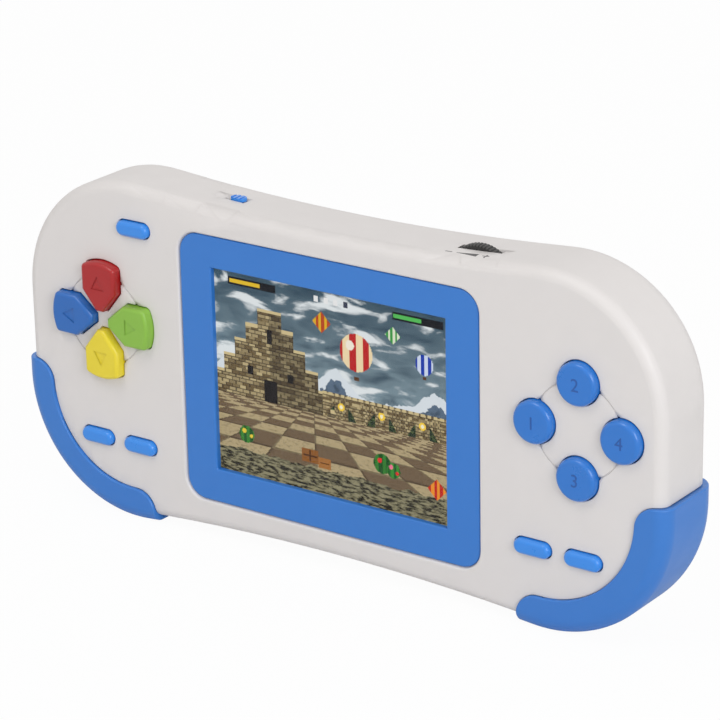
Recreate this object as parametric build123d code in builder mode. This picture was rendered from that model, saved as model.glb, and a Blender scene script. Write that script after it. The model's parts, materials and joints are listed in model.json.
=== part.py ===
from build123d import *
import os
from math import asin, atan, cos, degrees, hypot, radians, sin, sqrt

# A handheld game console that stands on its two lower grips. Sizes are in millimetres.
# X runs to the right, Y from the front face to the back, and Z up from the floor.
# A depth is counted from the front face of the housing towards its back. Other places are
# counted from the middle of the housing, to the right and up.

# Housing: straight sides, round corners, and a shallow waist above and below the screen
side_flat = 18.8
waist_dip = 2.1
waist_margin = 5.25
side_margin = 4.4
casing_depth = 17.5
front_depth = 13.0
front_round = 2.4
back_round = 4.4
wall = 2.0
tongue_height = 1.6
tongue_wall = 1.1
tongue_fit = 0.1
overrun = 5.0
seat_gap = 0.1

# Grips over the two lower corners
grip_proud = 1.25
grip_face_rise = 0.7
grip_seat = 0.5
grip_gap = 0.12
grip_band = 5.8
grip_rise = 3.3
grip_reach = 5.4
grip_turn = 4.6
grip_rim = 0.35

# Screen: bezel, window, lens, display and the tray that holds it
screen_rise = 0.3
bezel_width = 70.4
bezel_height = 56.1
bezel_drop = 0.3
bezel_corner = 4.4
bezel_flange = 0.65
bezel_recess = 0.35
bezel_round = 0.45
bezel_gap = 0.15
bezel_shoulder = 0.5
window_width = 55.2
window_height = 42.4
sleeve_wall = 0.8
lens_thickness = 0.6
lens_sink = 0.35
display_side_cover = 2.0
display_end_cover = 1.2
display_thickness = 1.9
tray_depth = 2.6
tray_floor = 0.5
tray_rail = 1.0
display_gap = 0.05
ribbon_width = 16.0
ribbon_thickness = 0.2
ribbon_inset = 11.6
ribbon_run = 6.0

# Keys, their holes and the rubber domes behind them
key_gap = 0.2
hole_round = 0.2
stop_gap = 0.1
flange_thickness = 0.9
flange_rim = 1.1
pill_rim = 0.9
round_key_radius = 4.25
round_key_rise = 1.5
round_key_edge = 0.9
action_ring = 9.36
action_margin = 8.29
action_rise = 5.5
petal_rise = 2.0
petal_width = 8.5
petal_tip = 1.7
petal_inner = 2.0
petal_shoulder = 6.2
petal_corner = 11.4
petal_outer = 12.4
petal_round = 1.0
petal_edge = 0.8
petal_rim = 0.4
wing_width = 9.8
wing_length = 3.2
wing_overhang = 0.8
arrow_sides = 3
arrow_size = 3.4
arrow_place = 7.6
arrow_deep = 0.25
pad_margin = 7.2
pad_rise = 5.9
pill_length = 7.9
pill_width = 3.1
pill_rise = 1.2
pill_edge = 0.9
pill_pitch = 11.05
pill_inset = 15.45
left_pair_shift = 2.5
right_pair_shift = 4.25
reset_shift = 8.5
reset_inset = 9.1
groove_radius = 9.45
groove_width = 0.3
groove_deep = 0.2
notch_radius = 0.42
notch_deep = 0.7
dome_base = 3.3
dome_top = 2.4
pill_dome_base = 1.9
pill_dome_top = 1.4
sheet_thickness = 1.0
sheet_rim = 1.0

# Circuit board and what sits on it
board_depth = 6.4
board_thickness = 1.2
board_inset = 2.2
post_radius = 2.4
post_bore = 0.9
post_margin = 3.85
post_inset = 12.05
board_hole = 1.2
chip_size = 12.0
chip_thickness = 1.4
chip_shift = 14.8
chip_z = -1.5
memory_width = 8.0
memory_height = 14.0
memory_thickness = 1.1
memory_shift = 2.8
memory_z = 8.0
capacitor_radius = 2.5
capacitor_height = 5.2
capacitor_pitch = 7.0
capacitor_shift = 12.8
capacitor_z = 21.0

# Volume wheel and its potentiometer
wheel_inset = 3.3
wheel_radius = 7.4
wheel_thickness = 2.0
wheel_depth = 6.45
wheel_rise = 1.0
wheel_gap = 0.3
wheel_scoop_radius = 26.0
wheel_scoop_deep = 0.5
wheel_bevel = 0.25
tooth_count = 64
tooth_deep = 0.25
shaft_radius = 1.5
shaft_gap = 0.05
pot_radius = 9.2
pot_thickness = 2.6
pot_top = 2.3
pot_relief = 0.3
cap_radius = 2.4
cap_thickness = 0.5

# Power switch
switch_inset = 8.2
switch_depth = 7.85
scoop_radius = 11.5
scoop_deep = 0.8
scoop_width = 2.8
knob_length = 3.3
knob_width = 2.1
knob_rise = 0.45
knob_sink = 0.3
knob_travel = 2.6
knob_rib = 0.35
knob_rib_deep = 0.2
knob_round = 0.9
neck_length = 2.0
neck_width = 1.2
neck_gap = 0.2
collar_drop = 0.35
collar_length = 7.4
collar_width = 4.4
collar_thickness = 0.8
stem_gap = 0.25
stem_length = 2.0
switch_length = 9.0
switch_width = 3.6
switch_height = 4.8
pin_length = 3.0
pin_width = 0.6
pin_thickness = 0.4
pin_pitch = 2.5

# Screws and their bosses
boss_radius = 3.0
mid_boss_radius = 2.8
boss_end = 12.4
screw_radius = 0.9
screw_fit = 0.05
screw_length = 8.0
head_radius = 1.8
head_height = 1.2
head_round = 0.5
cross_length = 2.2
cross_width = 0.45
cross_deep = 0.6
well_radius = 2.3
well_floor = 1.1
board_screw_length = 3.6
boss_margin = 2.1
upper_boss_angle = 61.0
lower_boss_angle = -14.0

# Battery bay, cells, contacts and cover
cell_radius = 5.25
cell_length = 43.3
nub_radius = 2.75
nub_length = 1.2
cell_round = 0.4
cell_gap = 0.4
cell_rest = 0.15
contact_thickness = 0.4
contact_width = 7.0
spring_space = 4.6
spring_width = 4.0
spring_leaf = 0.35
tail_width = 1.6
bay_wall = 1.5
bay_floor = 1.0
bay_depth = 8.4
cover_thickness = 1.9
cover_inset = 0.2
ledge = 1.6
cover_gap = 0.3
cover_corner = 2.0
plateau_rim = 3.0
plateau_corner = 5.0
plateau_lean = 3.0
plateau_round = 0.9
tab_width = 6.0
tab_length = 2.4
tab_thickness = 1.0
tab_spread = 15.0
tab_room = 0.3
tab_skin_gap = 0.2
latch_width = 10.0
latch_length = 2.0
latch_thickness = 1.0
thumb_groove_width = 0.8
thumb_groove_length = 12.0
thumb_groove_deep = 0.4
thumb_groove_pitch = 2.0
thumb_groove_rise = 6.0

# Speaker and its grille in the back
speaker_shift = 7.1
speaker_z = 3.0
speaker_radius = 14.0
speaker_depth = 4.6
speaker_basket = 0.6
speaker_rim = 1.2
magnet_radius = 7.5
magnet_height = 2.2
cone_radius = 5.0
ring_wall = 1.0
ring_height = 2.0
slot_width = 1.2
slot_pitch = 2.8
slot_shares = (0.55, 0.85, 1.0, 0.85, 0.55)
slot_length = 20.0

# Worked out from the sizes above
half_width = bezel_width / 2 + action_margin + 2 * (action_ring + round_key_radius) + side_margin
corner_z = side_flat / 2
corner_radius = bezel_height / 2 + waist_margin + waist_dip - corner_z
corner_x = half_width - corner_radius
housing_rise = corner_z + corner_radius
bezel_rise = screen_rise - bezel_drop
display_width = window_width + 2 * display_side_cover
display_height = window_height + 2 * display_end_cover
lens_width = display_width + 2 * (tray_rail + bezel_gap)
lens_height = display_height + 2 * (tray_rail + bezel_gap)
waist_radius = (corner_x**2 + waist_dip**2 - 2 * corner_radius * waist_dip) / (2 * waist_dip)
waist_lean = degrees(asin(corner_x / (waist_radius + corner_radius)))
waist_top = housing_rise - waist_dip
middle_z = housing_rise + grip_proud
cell_pitch = 2 * cell_radius + cell_gap
cell_depth = bay_depth + bay_floor + cell_rest + cell_radius
cover_depth = cell_depth + cell_radius + cover_inset
back_depth = cover_depth + cover_thickness
overall_depth = petal_rise + back_depth
front_y = petal_rise - overall_depth / 2
bay_length = cell_length + nub_length + spring_space + 2 * contact_thickness
bay_height = 3 * cell_pitch
cover_width = bay_length + 2 * ledge
cover_height = bay_height + 2 * ledge
plateau_width = cover_width + 2 * (cover_gap + plateau_rim)
plateau_height = cover_height + 2 * (cover_gap + plateau_rim)
flange_depth = wall + stop_gap
dome_depth = flange_depth + flange_thickness + stop_gap
sheet_depth = board_depth - sheet_thickness
board_back = board_depth + board_thickness
lens_front = wall - lens_sink
tray_front = lens_front + lens_thickness
display_front = tray_front + display_gap
mid_boss_z = screen_rise + lens_height / 2 + 2 * key_gap + mid_boss_radius
mid_boss_places = [(0, mid_boss_z), (0, -mid_boss_z)]
post_x = lens_width / 2 + post_margin + post_radius
post_z = bezel_height / 2 - post_inset
ribbon_x = window_width / 2 - ribbon_inset
post_places = [(x, z) for x in (-post_x, post_x) for z in (-post_z, post_z)]
pad_x = -(bezel_width / 2 + pad_margin + petal_outer)
action_x = bezel_width / 2 + action_margin + action_ring + round_key_radius
reset_x = pad_x + reset_shift
reset_z = housing_rise - reset_inset
pill_z = pill_inset - housing_rise
wheel_x = bezel_width / 2 - wheel_inset
switch_x = switch_inset - bezel_width / 2
left_pills_x = pad_x + left_pair_shift
right_pills_x = action_x - right_pair_shift
chip_x = pad_x + chip_shift
memory_x = pad_x + memory_shift
capacitor_x = pad_x + capacitor_shift
speaker_x = action_x - speaker_shift
head_seat = boss_end + seat_gap + well_floor
tab_swing = hypot(cover_thickness, tab_length) + tab_room
tab_reach = tab_length + tab_room + ledge + seat_gap
compass = {"right": 0, "up": 90, "left": 180, "down": 270}


def top_surface(x):
    """Height of the housing's top wall above its middle, at x."""
    return waist_top + waist_radius - sqrt(waist_radius**2 - x**2)


wheel_z = top_surface(wheel_x) + wheel_rise - wheel_radius
wheel_scoop_z = top_surface(wheel_x) - wheel_scoop_deep + wheel_scoop_radius
switch_z = top_surface(switch_x)
scoop_z = switch_z - scoop_deep + scoop_radius
switch_top = switch_z - wall - collar_drop - collar_thickness - stem_gap


def level(depth):
    """Plane at a depth behind the front face, seen from the front, with its zero in the middle."""
    return Plane(origin=(0, front_y + depth, middle_z), x_dir=(1, 0, 0), z_dir=(0, -1, 0))


def on_circle(centre_x, centre_z, radius, angle):
    """Place on a circle, with the angle counted from the right."""
    return (centre_x + radius * cos(radians(angle)), centre_z + radius * sin(radians(angle)))


# Four bosses lie beside the round corners, two above and below the screen.
boss_ring = corner_radius - wall - boss_margin - boss_radius
boss_places = [
    (side * x, z)
    for x, z in (
        on_circle(corner_x, corner_z, boss_ring, upper_boss_angle),
        on_circle(corner_x, -corner_z, boss_ring, lower_boss_angle),
    )
    for side in (-1, 1)
]
all_bosses = boss_places + mid_boss_places


def discs(depth, radius, places):
    """Discs of one radius at a depth."""
    with BuildSketch(level(depth)) as face:
        with Locations(*places):
            Circle(radius)
    return face.sketch


def plate(depth, width, height, x=0, z=0, corner=0):
    """Rectangle at a depth, with round corners if asked for."""
    with BuildSketch(level(depth)) as face:
        with Locations((x, z)):
            Rectangle(width, height)
        if corner:
            fillet(face.vertices(), corner)
    return face.sketch


def pills(depth, length, width, places):
    """Long round-ended shapes at a depth."""
    with BuildSketch(level(depth)) as face:
        with Locations(*places):
            SlotOverall(length, width)
    return face.sketch


def housing_outline(depth, grow):
    """Outline of the housing at a depth, moved outwards by grow."""
    with BuildSketch(level(depth)) as face:
        with BuildLine():
            side = Line((half_width + grow, 0), (half_width + grow, corner_z))
            corner = JernArc(side @ 1, side % 1, corner_radius + grow, 90 + waist_lean)
            JernArc(corner @ 1, corner % 1, waist_radius - grow, -waist_lean)
            mirror(about=Plane.YZ)
            mirror(about=Plane.XZ)
        make_face()
    return face.sketch


def housing_block(side_grow, face_grow):
    """The housing as one solid, with its sides and its faces moved outwards."""
    with BuildPart() as block:
        extrude(housing_outline(-face_grow, side_grow), amount=-(casing_depth + 2 * face_grow))
        fillet(block.faces().sort_by(Axis.Y)[0].edges(), front_round + face_grow)
        fillet(block.faces().sort_by(Axis.Y)[-1].edges(), back_round + face_grow)
    return block.part


def grip_outline(depth, grow):
    """Area that the right grip covers, seen from the front, moved outwards by grow."""
    with BuildSketch(level(depth)) as face:
        with Locations((corner_x - grip_reach, grip_rise - corner_z)):
            Rectangle(half_width, half_width, align=(Align.MIN, Align.MAX))
        with Locations((corner_x, -corner_z)):
            Circle(corner_radius - grip_band, mode=Mode.SUBTRACT)
        fillet(face.vertices().sort_by_distance((corner_x, -corner_z))[:2], grip_turn)
        if grow:
            offset(amount=grow)
    return face.sketch


def petal(depth, angle, grow):
    """Outline of one direction key, pointing to the angle, moved outwards by grow."""
    with BuildSketch() as shape:
        with BuildLine():
            tip = Line((0, petal_inner), (petal_tip / 2, petal_inner))
            slant = Line(tip @ 1, (petal_width / 2, petal_shoulder))
            flank = Line(slant @ 1, (petal_width / 2, petal_corner))
            crown_end = (-petal_width / 2, petal_corner)
            ThreePointArc(flank @ 1, (0, petal_outer), crown_end)
            Line(crown_end, (-petal_width / 2, petal_shoulder))
            Line((-petal_width / 2, petal_shoulder), (-petal_tip / 2, petal_inner))
            Line((-petal_tip / 2, petal_inner), tip @ 0)
        make_face()
        fillet(shape.vertices().group_by(Axis.Y)[-1], petal_round)
        if grow:
            offset(amount=grow)
    with BuildSketch(level(depth)) as face:
        with Locations(Location((pad_x, pad_rise), angle - 90)):
            add(shape.sketch)
    return face.sketch


os.makedirs("parts", exist_ok=True)

# Solids that the casings and the grips share
whole_block = housing_block(0, 0)
seat_block = housing_block(-grip_seat, -grip_seat)
grip_block = housing_block(grip_proud, grip_face_rise)

with BuildPart() as grip_recess:
    extrude(grip_outline(-overrun, grip_gap), amount=-(casing_depth + 2 * overrun))
    add(seat_block, mode=Mode.SUBTRACT)
    mirror(about=Plane.YZ)

action_places = [on_circle(action_x, action_rise, action_ring, turn) for turn in compass.values()]
left_pills = [(left_pills_x - pill_pitch / 2, pill_z), (left_pills_x + pill_pitch / 2, pill_z)]
right_pills = [(right_pills_x - pill_pitch / 2, pill_z), (right_pills_x + pill_pitch / 2, pill_z)]
reset_place = (reset_x, reset_z)
ring_hole = round_key_radius + key_gap
action_notch = degrees(2 * asin(ring_hole / (2 * groove_radius)))
pad_notch = degrees(asin((petal_width / 2 + key_gap) / groove_radius))

# Front casing: face, side walls, key holes, screen seat, bosses and posts
with BuildPart() as front_casing:
    add(whole_block)
    split(bisect_by=level(front_depth), keep=Keep.TOP)
    extrude(housing_outline(wall, -wall), amount=-front_depth, mode=Mode.SUBTRACT)
    add(grip_recess.part, mode=Mode.SUBTRACT)
    # Key holes with round rims
    extrude(discs(-overrun, ring_hole, action_places), amount=-(wall + 2 * overrun), mode=Mode.SUBTRACT)
    for turn in compass.values():
        extrude(petal(-overrun, turn, key_gap), amount=-(wall + 2 * overrun), mode=Mode.SUBTRACT)
    pill_holes = pills(
        -overrun, pill_length + 2 * key_gap, pill_width + 2 * key_gap,
        left_pills + right_pills + [reset_place],
    )
    extrude(pill_holes, amount=-(wall + 2 * overrun), mode=Mode.SUBTRACT)
    fillet(front_casing.faces().sort_by(Axis.Y)[0].inner_wires().edges(), hole_round)
    # Pocket for the bezel, with a round shoulder, and the window behind it
    extrude(
        plate(
            -overrun, bezel_width + 2 * bezel_gap, bezel_height + 2 * bezel_gap,
            0, bezel_rise, bezel_corner + bezel_gap,
        ),
        amount=-(overrun + bezel_recess + bezel_flange), mode=Mode.SUBTRACT,
    )
    shoulder_edges = front_casing.faces().sort_by(Axis.Y)[0].edges().filter_by(
        lambda edge: abs(edge.center().X) < bezel_width / 2 + 2 * bezel_gap
        and abs(edge.center().Z - middle_z) < bezel_height / 2 + 2 * bezel_gap
    )
    fillet(shoulder_edges, bezel_shoulder)
    sleeve_hole_width = window_width + 2 * (sleeve_wall + bezel_gap)
    sleeve_hole_height = window_height + 2 * (sleeve_wall + bezel_gap)
    window = plate(0, sleeve_hole_width, sleeve_hole_height, 0, screen_rise)
    extrude(window, amount=-(wall + overrun), mode=Mode.SUBTRACT)
    # A fence on the inside keeps the lens and the display tray in place.
    fence_width = lens_width + 4 * bezel_gap
    fence_height = lens_height + 4 * bezel_gap
    with BuildSketch(level(wall)):
        with Locations((0, screen_rise)):
            Rectangle(fence_width + 2 * tray_rail, fence_height + 2 * tray_rail)
            Rectangle(fence_width, fence_height, mode=Mode.SUBTRACT)
    extrude(amount=lens_sink - lens_thickness - tray_depth / 2)
    extrude(
        plate(lens_front, fence_width, fence_height, 0, screen_rise),
        amount=-lens_sink, mode=Mode.SUBTRACT,
    )
    extrude(discs(wall, boss_radius, boss_places), amount=-(boss_end - wall))
    extrude(discs(wall, mid_boss_radius, mid_boss_places), amount=-(boss_end - wall))
    extrude(discs(wall, post_radius, post_places), amount=-(board_depth - wall))
    extrude(
        discs(wall, screw_radius + screw_fit, all_bosses), amount=-front_depth, mode=Mode.SUBTRACT
    )
    extrude(discs(wall, post_bore, post_places), amount=-board_depth, mode=Mode.SUBTRACT)
    # Engraved rings that link the keys
    with BuildSketch(level(0)):
        with Locations((action_x, action_rise), (pad_x, pad_rise)):
            Circle(groove_radius + groove_width / 2)
            Circle(groove_radius - groove_width / 2, mode=Mode.SUBTRACT)
    extrude(amount=-groove_deep, mode=Mode.SUBTRACT)
    notches = [
        on_circle(x, z, groove_radius, turn + side * swing)
        for x, z, swing in ((action_x, action_rise, action_notch), (pad_x, pad_rise, pad_notch))
        for turn in compass.values()
        for side in (-1, 1)
    ]
    extrude(discs(0, notch_radius, notches), amount=-notch_deep, mode=Mode.SUBTRACT)
    # Slots for the volume wheel and the power switch in the top wall, each in a shallow scoop
    wheel_slot_width = wheel_thickness + wheel_gap
    slot = discs(wheel_depth - wheel_slot_width / 2, wheel_radius + wheel_gap, [(wheel_x, wheel_z)])
    extrude(slot, amount=-wheel_slot_width, mode=Mode.SUBTRACT)
    wheel_scoop = discs(
        wheel_depth - wheel_slot_width / 2, wheel_scoop_radius, [(wheel_x, wheel_scoop_z)]
    )
    extrude(wheel_scoop, amount=-wheel_slot_width, mode=Mode.SUBTRACT)
    scoop = discs(switch_depth - scoop_width / 2, scoop_radius, [(switch_x, scoop_z)])
    extrude(scoop, amount=-scoop_width, mode=Mode.SUBTRACT)
    neck_room = neck_width + 2 * neck_gap
    neck_slot = plate(
        switch_depth - neck_room / 2, neck_length + knob_travel + 2 * neck_gap, 4 * wall,
        switch_x, switch_z,
    )
    extrude(neck_slot, amount=-neck_room, mode=Mode.SUBTRACT)
front_casing.part.label = "front_casing"
export_step(front_casing.part, "parts/front_casing.step")

# Rear casing: back wall with its tongue, battery bay in a raised plateau, screw wells, grille
with BuildPart() as plateau:
    with BuildSketch(level(casing_depth)):
        RectangleRounded(
            plateau_width + 2 * plateau_lean, plateau_height + 2 * plateau_lean,
            plateau_corner + plateau_lean,
        )
    with BuildSketch(level(back_depth)):
        RectangleRounded(plateau_width, plateau_height, plateau_corner)
    loft()
    fillet(plateau.faces().sort_by(Axis.Y)[-1].edges(), plateau_round)

with BuildPart() as rear_casing:
    add(whole_block)
    split(bisect_by=level(front_depth), keep=Keep.BOTTOM)
    tongue_depth = front_depth - tongue_height
    inner_back = casing_depth - wall
    extrude(housing_outline(front_depth, -wall), amount=front_depth - inner_back, mode=Mode.SUBTRACT)
    tongue_grow = -(wall + tongue_fit)
    extrude(housing_outline(tongue_depth, tongue_grow), amount=tongue_depth - inner_back)
    extrude(
        housing_outline(tongue_depth, tongue_grow - tongue_wall),
        amount=tongue_depth - inner_back, mode=Mode.SUBTRACT,
    )
    add(grip_recess.part, mode=Mode.SUBTRACT)
    add(plateau.part)
    extrude(
        plate(bay_depth, bay_length + 2 * bay_wall, bay_height + 2 * bay_wall),
        amount=bay_depth - casing_depth,
    )
    extrude(
        plate(bay_depth + bay_floor, bay_length, bay_height),
        amount=bay_depth - back_depth, mode=Mode.SUBTRACT,
    )
    recess = plate(
        cover_depth, cover_width + 2 * cover_gap, cover_height + 2 * cover_gap,
        0, 0, cover_corner + cover_gap,
    )
    extrude(recess, amount=-(cover_thickness + overrun), mode=Mode.SUBTRACT)
    # Pockets in which the cover's two tabs swing, and the notch for its latch
    for side in (-1, 1):
        pocket = plate(
            back_depth - tab_swing, tab_width + 2 * tab_room, tab_reach,
            side * tab_spread, cover_height / 2 + tab_length + tab_room - tab_reach / 2,
        )
        pocket_height = tab_swing - cover_thickness + tab_thickness + tab_skin_gap
        extrude(pocket, amount=-pocket_height, mode=Mode.SUBTRACT)
    notch = plate(
        back_depth - latch_thickness - tab_room, latch_width + 2 * tab_room, 2 * latch_length,
        0, -cover_height / 2 - tab_room,
    )
    extrude(notch, amount=-(latch_thickness + overrun), mode=Mode.SUBTRACT)
    for side in (-1, 1):
        tails = [(side * (bay_length - contact_thickness) / 2, row * cell_pitch) for row in (-1, 0, 1)]
        with BuildSketch(level(bay_depth - seat_gap)):
            with Locations(*tails):
                Rectangle(contact_thickness + 2 * seat_gap, tail_width + 2 * seat_gap)
        extrude(amount=-(bay_floor + 2 * seat_gap), mode=Mode.SUBTRACT)
    # Screw tubes, wells and holes
    tube_depth = boss_end + seat_gap
    extrude(discs(tube_depth, boss_radius, all_bosses), amount=tube_depth - inner_back)
    extrude(
        discs(head_seat, well_radius, all_bosses),
        amount=head_seat - casing_depth - overrun, mode=Mode.SUBTRACT,
    )
    extrude(
        discs(tube_depth, screw_radius + 4 * screw_fit, all_bosses),
        amount=tube_depth - casing_depth, mode=Mode.SUBTRACT,
    )
    # Speaker ring and grille
    with BuildSketch(level(inner_back - ring_height)):
        with Locations((speaker_x, speaker_z)):
            Circle(speaker_radius + bezel_gap + ring_wall)
            Circle(speaker_radius + bezel_gap, mode=Mode.SUBTRACT)
    extrude(amount=-ring_height)
    middle_row = (len(slot_shares) - 1) / 2
    for row, share in enumerate(slot_shares):
        place = (speaker_x, speaker_z + (row - middle_row) * slot_pitch)
        grille_slot = pills(inner_back - overrun, share * slot_length, slot_width, [place])
        extrude(grille_slot, amount=-(wall + 2 * overrun), mode=Mode.SUBTRACT)
rear_casing.part.label = "rear_casing"
export_step(rear_casing.part, "parts/rear_casing.step")

# Battery cover: plate with two tabs above, a latch below and grooves for the thumb
with BuildPart() as battery_cover:
    extrude(plate(cover_depth, cover_width, cover_height, 0, 0, cover_corner), amount=-cover_thickness)
    for side in (-1, 1):
        tab = plate(
            cover_depth, tab_width, 2 * tab_length, side * tab_spread, cover_height / 2,
        )
        extrude(tab, amount=-tab_thickness)
    latch = plate(
        back_depth - latch_thickness, latch_width, 2 * latch_length, 0, -cover_height / 2,
    )
    extrude(latch, amount=-latch_thickness)
    groove_places = [
        (0, -cover_height / 2 + thumb_groove_rise + row * thumb_groove_pitch) for row in range(3)
    ]
    extrude(
        pills(back_depth - thumb_groove_deep, thumb_groove_length, thumb_groove_width, groove_places),
        amount=-overrun, mode=Mode.SUBTRACT,
    )
battery_cover.part.label = "battery_cover"
export_step(battery_cover.part, "parts/battery_cover.step")

# Three cells side by side, the middle one the other way round
cell_rows = {"upper": (1, 1), "middle": (0, -1), "lower": (-1, 1)}
for row_name, (row, way) in cell_rows.items():
    nub_end = way * (contact_thickness - bay_length / 2)
    with BuildPart() as battery_cell:
        with BuildSketch(Plane.YZ.offset(nub_end + way * nub_length)):
            with Locations((front_y + cell_depth, middle_z + row * cell_pitch)):
                Circle(cell_radius)
        extrude(amount=way * cell_length)
        fillet(battery_cell.edges(), cell_round)
        with BuildSketch(Plane.YZ.offset(nub_end)):
            with Locations((front_y + cell_depth, middle_z + row * cell_pitch)):
                Circle(nub_radius)
        extrude(amount=way * (nub_length + cell_round))
    battery_cell.part.label = f"battery_cell_{row_name}"
    export_step(battery_cell.part, f"parts/battery_cell_{row_name}.step")

# Contact plates at both ends of the bay; a bent leaf presses on each cell's flat end
for side_name, side in {"left": -1, "right": 1}.items():
    with BuildPart() as contacts:
        for row, way in cell_rows.values():
            row_z = row * cell_pitch
            plate_x = side * (bay_length - contact_thickness) / 2
            blade_depth = bay_depth + bay_floor
            extrude(
                plate(blade_depth, contact_thickness, contact_width, plate_x, row_z),
                amount=blade_depth - cover_depth + seat_gap,
            )
            tail = plate(board_back, contact_thickness, tail_width, plate_x, row_z)
            extrude(tail, amount=board_back - blade_depth)
            if way == side:
                foot_x = side * (bay_length / 2 - contact_thickness)
                tip_x = foot_x - side * (spring_space - seat_gap)
                with BuildSketch(Plane.XY.offset(middle_z + row_z - spring_width / 2)):
                    with Locations((0, front_y + cell_depth)):
                        Polygon(
                            (foot_x, cell_radius - seat_gap), (tip_x, 0), (foot_x, seat_gap - cell_radius),
                            (foot_x, spring_leaf - cell_radius), (tip_x + side * spring_leaf, 0),
                            (foot_x, cell_radius - spring_leaf), align=None,
                        )
                extrude(amount=spring_width)
    contacts.part.label = f"battery_contacts_{side_name}"
    export_step(contacts.part, f"parts/battery_contacts_{side_name}.step")

# Grips: the housing's own shape moved outwards, cut to the grip's outline and seated in the recess
with BuildPart() as right_grip:
    add(grip_block)
    extrude(grip_outline(-overrun, 0), amount=-(casing_depth + 2 * overrun), mode=Mode.INTERSECT)
    rim_edges = right_grip.faces().sort_by(Axis.Y)[0].edges().filter_by(
        lambda edge: edge.distance_to(Vertex(corner_x, front_y - grip_face_rise, middle_z - corner_z))
        < corner_radius - grip_band + grip_rim
    )
    fillet(rim_edges, grip_rim)
    add(seat_block, mode=Mode.SUBTRACT)
right_grip.part.label = "right_grip"
export_step(right_grip.part, "parts/right_grip.step")

with BuildPart() as left_grip:
    mirror(right_grip.part, about=Plane.YZ)
left_grip.part.label = "left_grip"
export_step(left_grip.part, "parts/left_grip.step")

# Screen: bezel with a sleeve through the casing, lens, display, tray and ribbon
with BuildPart() as screen_bezel:
    extrude(
        plate(bezel_recess, bezel_width, bezel_height, 0, bezel_rise, bezel_corner),
        amount=-bezel_flange,
    )
    fillet(screen_bezel.faces().sort_by(Axis.Y)[0].edges(), bezel_round)
    sleeve_width = window_width + 2 * sleeve_wall
    sleeve_height = window_height + 2 * sleeve_wall
    extrude(
        plate(bezel_recess + bezel_flange, sleeve_width, sleeve_height, 0, screen_rise),
        amount=bezel_recess + bezel_flange - lens_front,
    )
    extrude(
        plate(-overrun, window_width, window_height, 0, screen_rise),
        amount=-(wall + 2 * overrun), mode=Mode.SUBTRACT,
    )
screen_bezel.part.label = "screen_bezel"
export_step(screen_bezel.part, "parts/screen_bezel.step")

with BuildPart() as screen_lens:
    extrude(plate(lens_front, lens_width, lens_height, 0, screen_rise), amount=-lens_thickness)
screen_lens.part.label = "screen_lens"
export_step(screen_lens.part, "parts/screen_lens.step")

with BuildPart() as display_panel:
    extrude(plate(display_front, display_width, display_height, 0, screen_rise), amount=-display_thickness)
display_panel.part.label = "display_panel"
export_step(display_panel.part, "parts/display_panel.step")

ribbon_start = display_front + display_thickness - 2 * ribbon_thickness
ribbon_end = board_depth - ribbon_thickness / 2 - seat_gap
display_bottom = screen_rise - display_height / 2
ribbon_turn = screen_rise - lens_height / 2 - ribbon_thickness

with BuildPart() as display_tray:
    extrude(plate(tray_front, lens_width, lens_height, 0, screen_rise), amount=-tray_depth)
    extrude(
        plate(tray_front, display_width + 2 * bezel_gap, display_height + 2 * bezel_gap, 0, screen_rise),
        amount=tray_floor - tray_depth, mode=Mode.SUBTRACT,
    )
    ribbon_gate = plate(
        ribbon_start - 2 * ribbon_thickness, ribbon_width + 4 * ribbon_thickness, 4 * tray_rail,
        ribbon_x, screen_rise - lens_height / 2,
    )
    extrude(ribbon_gate, amount=-4 * ribbon_thickness, mode=Mode.SUBTRACT)
display_tray.part.label = "display_tray"
export_step(display_tray.part, "parts/display_tray.step")

with BuildPart() as display_ribbon:
    with BuildLine(Plane.YZ.offset(ribbon_x)) as ribbon_path:
        out = Line(
            (front_y + ribbon_start, middle_z + display_bottom),
            (front_y + ribbon_start, middle_z + ribbon_turn),
        )
        bend = JernArc(out @ 1, out % 1, (ribbon_end - ribbon_start) / 2, 180)
        Line(bend @ 1, bend @ 1 + Vector(0, 0, ribbon_run))
    with BuildSketch(Plane(origin=out @ 0, x_dir=(1, 0, 0), z_dir=(0, 0, -1))):
        Rectangle(ribbon_width, ribbon_thickness)
    sweep()
display_ribbon.part.label = "display_ribbon"
export_step(display_ribbon.part, "parts/display_ribbon.step")

# Direction keys: four petals, each with an arrow sunk in its face
for name, turn in compass.items():
    with BuildPart() as direction_key:
        extrude(petal(-petal_rise, turn, 0), amount=-(petal_rise + flange_depth))
        fillet(direction_key.faces().sort_by(Axis.Y)[0].edges(), petal_edge)
        extrude(petal(flange_depth, turn, petal_rim), amount=-flange_thickness)
        with BuildSketch(level(flange_depth)):
            wing_middle = petal_outer + wing_overhang - wing_length / 2
            with Locations(on_circle(pad_x, pad_rise, wing_middle, turn)):
                Rectangle(wing_length, wing_width, rotation=turn)
        extrude(amount=-flange_thickness)
        with BuildSketch(level(-petal_rise)):
            with Locations(on_circle(pad_x, pad_rise, arrow_place, turn)):
                RegularPolygon(arrow_size / sqrt(3), arrow_sides, rotation=turn)
        extrude(amount=-arrow_deep, mode=Mode.SUBTRACT)
    direction_key.part.label = f"{name}_key"
    export_step(direction_key.part, f"parts/{name}_key.step")

# Round action keys
for name, place in zip(compass, action_places):
    with BuildPart() as action_key:
        extrude(
            discs(-round_key_rise, round_key_radius, [place]), amount=-(round_key_rise + flange_depth)
        )
        fillet(action_key.faces().sort_by(Axis.Y)[0].edges(), round_key_edge)
        extrude(discs(flange_depth, round_key_radius + flange_rim, [place]), amount=-flange_thickness)
    action_key.part.label = f"action_key_{name}"
    export_step(action_key.part, f"parts/action_key_{name}.step")

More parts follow.
